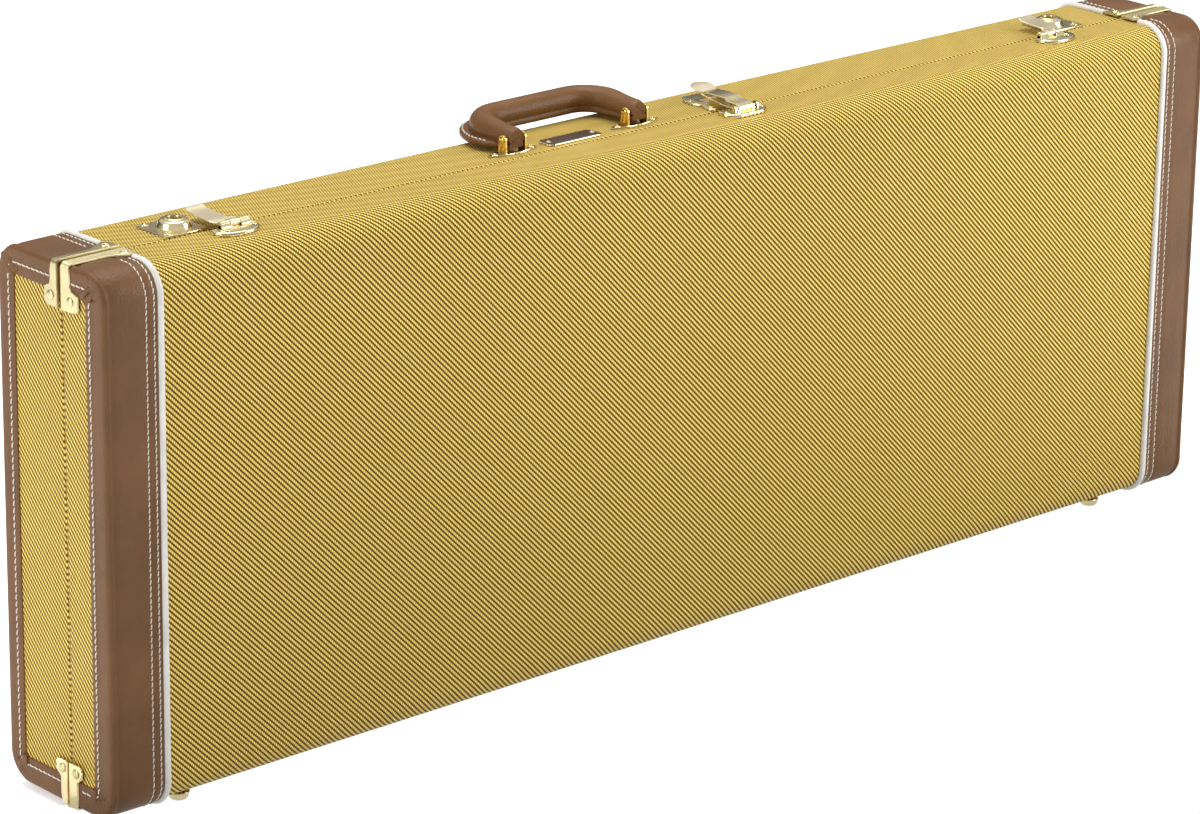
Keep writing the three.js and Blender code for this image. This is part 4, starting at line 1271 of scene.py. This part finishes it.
def stuffed(node, name):
    """A pad: the CAD solid shrunk a little, remeshed and blown up by a cloth simulation."""
    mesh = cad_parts[node].data.copy()
    mesh.name = name
    pad = bpy.data.objects.new(name, mesh)
    bpy.context.scene.collection.objects.link(pad)
    low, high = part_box(node)
    middle = (low + high) / 2
    for vertex in mesh.vertices:
        for axis in range(3):
            half_size = (high[axis] - low[axis]) / 2
            vertex.co[axis] = middle[axis] + (vertex.co[axis] - middle[axis]) * (1 - PAD_SHRINK / half_size)
    bpy.ops.object.select_all(action="DESELECT")
    bpy.context.view_layer.objects.active = pad
    pad.select_set(True)
    remesh = pad.modifiers.new("remesh", "REMESH")
    remesh.mode = "VOXEL"
    remesh.voxel_size = PAD_VOXEL
    bpy.ops.object.modifier_apply(modifier="remesh")
    rest = np.array([v.co[:] for v in pad.data.vertices])
    cloth = pad.modifiers.new("cloth", "CLOTH")
    cloth.settings.effector_weights.gravity = 0
    cloth.settings.use_pressure = True
    cloth.settings.uniform_pressure_force = PAD_PRESSURE
    cloth.settings.quality = 4
    cloth.point_cache.frame_start = 1
    cloth.point_cache.frame_end = PAD_FRAMES
    for number in range(1, PAD_FRAMES + 1):
        bpy.context.scene.frame_set(number)
    bpy.ops.object.modifier_apply(modifier="cloth")
    bpy.context.scene.frame_set(1)
    moved = np.array([v.co[:] for v in pad.data.vertices])
    step = moved - rest
    size = np.linalg.norm(step, axis=1, keepdims=True)
    step *= np.minimum(1.0, PAD_SWELL / np.maximum(size, 1e-9))
    rest = np.clip(rest + step, np.array(low) + PAD_MARGIN, np.array(high) - PAD_MARGIN)
    pad.data.vertices.foreach_set("co", rest.astype(np.float32).ravel())
    smoothing = pad.modifiers.new("smooth", "SMOOTH")
    smoothing.factor = 0.5
    smoothing.iterations = 3
    bpy.ops.object.modifier_apply(modifier="smooth")
    fine = pad.modifiers.new("fine", "SUBSURF")
    fine.levels = fine.render_levels = 1
    bpy.ops.object.modifier_apply(modifier="fine")
    pad.data.shade_smooth()
    pad.data.materials.clear()
    pad.data.materials.append(PLUSH[0])
    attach(pad, "base")
    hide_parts(node)


def add_pocket():
    """Accessory box with its padded lid and a ribbon tab to lift it by."""
    soften(dress("accessory_box", PLUSH), 0.9)
    low, high = box_mm("accessory_lid")
    lid, tab = Build(), Build()
    y_front, y_back = low.y, high.y - 0.1
    rings = []
    for inset, y in ((0.8, y_back), (0.0, y_back - 0.6), (0.0, y_front + 1.2), (0.6, y_front + 0.65),
                     (2.2, y_front + 0.35), (5.0, y_front + 0.2), (9.0, y_front + 0.1),
                     (20.0, y_front + 0.05)):
        z0, z1 = low.z + 0.4 + inset * 0.8, high.z - 0.4 - inset * 0.8
        rings.append([(x, y, z) for x, z in rounded(low.x + inset, high.x - inset, z0, z1, 3.0, 5)])
    lid.loft(rings)
    piece = lid.finish("pocket_lid", "accessory_lid", PLUSH, ["accessory_lid"], smooth=60)
    middle = (low.x + high.x) / 2
    rings = []
    section = ((-6, 0), (6, 0), (6, 0.6), (-6, 0.6))
    for y, z in ((y_back - 0.3, low.z + 9), (y_front - 0.3, low.z + 8.6), (y_front - 1.0, low.z + 4),
                 (y_front - 1.1, low.z - 3), (y_front - 0.8, low.z - 6.5)):
        rings.append([(middle + x, y + back, z + back / 6) for x, back in section])
    tab.loft(rings)
    tab.finish("pocket_ribbon", "accessory_lid", LEATHER, smooth=40)


# ---- Floor -----------------------------------------------------------------------------------
FLOOR_REACH = 30.0            # metres
OPENING_REACH = -0.62         # metres, the Y where the opening ends
FLOOR_GAP = 60.0              # beside the case's ends
HINGE_GAP = 12.0              # behind the hinge line


def add_floor():
    """A pale floor with an opening in front of the base, because the lid swings down past it."""
    low, high = box_mm("hinge_pin_middle")
    half = (END + FLOOR_GAP) * MM
    near = ((low.y + high.y) / 2 + HINGE_GAP) * MM
    xs, ys = (-FLOOR_REACH, -half, half, FLOOR_REACH), (-FLOOR_REACH, OPENING_REACH, near, FLOOR_REACH)
    points = [(x, y, 0) for y in ys for x in xs]
    faces = [(i, i + 1, i + 5, i + 4) for i in (0, 1, 2, 4, 6, 8, 9, 10)]
    mesh = bpy.data.meshes.new("floor")
    mesh.from_pydata(points, [], faces)
    mesh.materials.append(floor_look()[0])
    floor = bpy.data.objects.new("floor", mesh)
    bpy.context.scene.collection.objects.link(floor)


# ---- The case --------------------------------------------------------------------------------
add_camera()
add_light()
add_floor()
add_covers()
for shell in ("base_shell", "lid_shell", "base_valance"):
    dress(shell, PLYWOOD)
add_collars()
add_straps()
for lock_end, lock_word in ENDS.items():
    add_lock(lock_end, lock_word)
add_draw_latch()
add_handle()
add_name_plate()
add_feet()
add_hinges()
add_linings()
for pad_node, pad_name in (("lower_bout_pad", "bout_cushion"), ("shoulder_pad", "shoulder_cushion"),
                           ("neck_rest", "neck_cushion")):
    stuffed(pad_node, pad_name)
add_pocket()
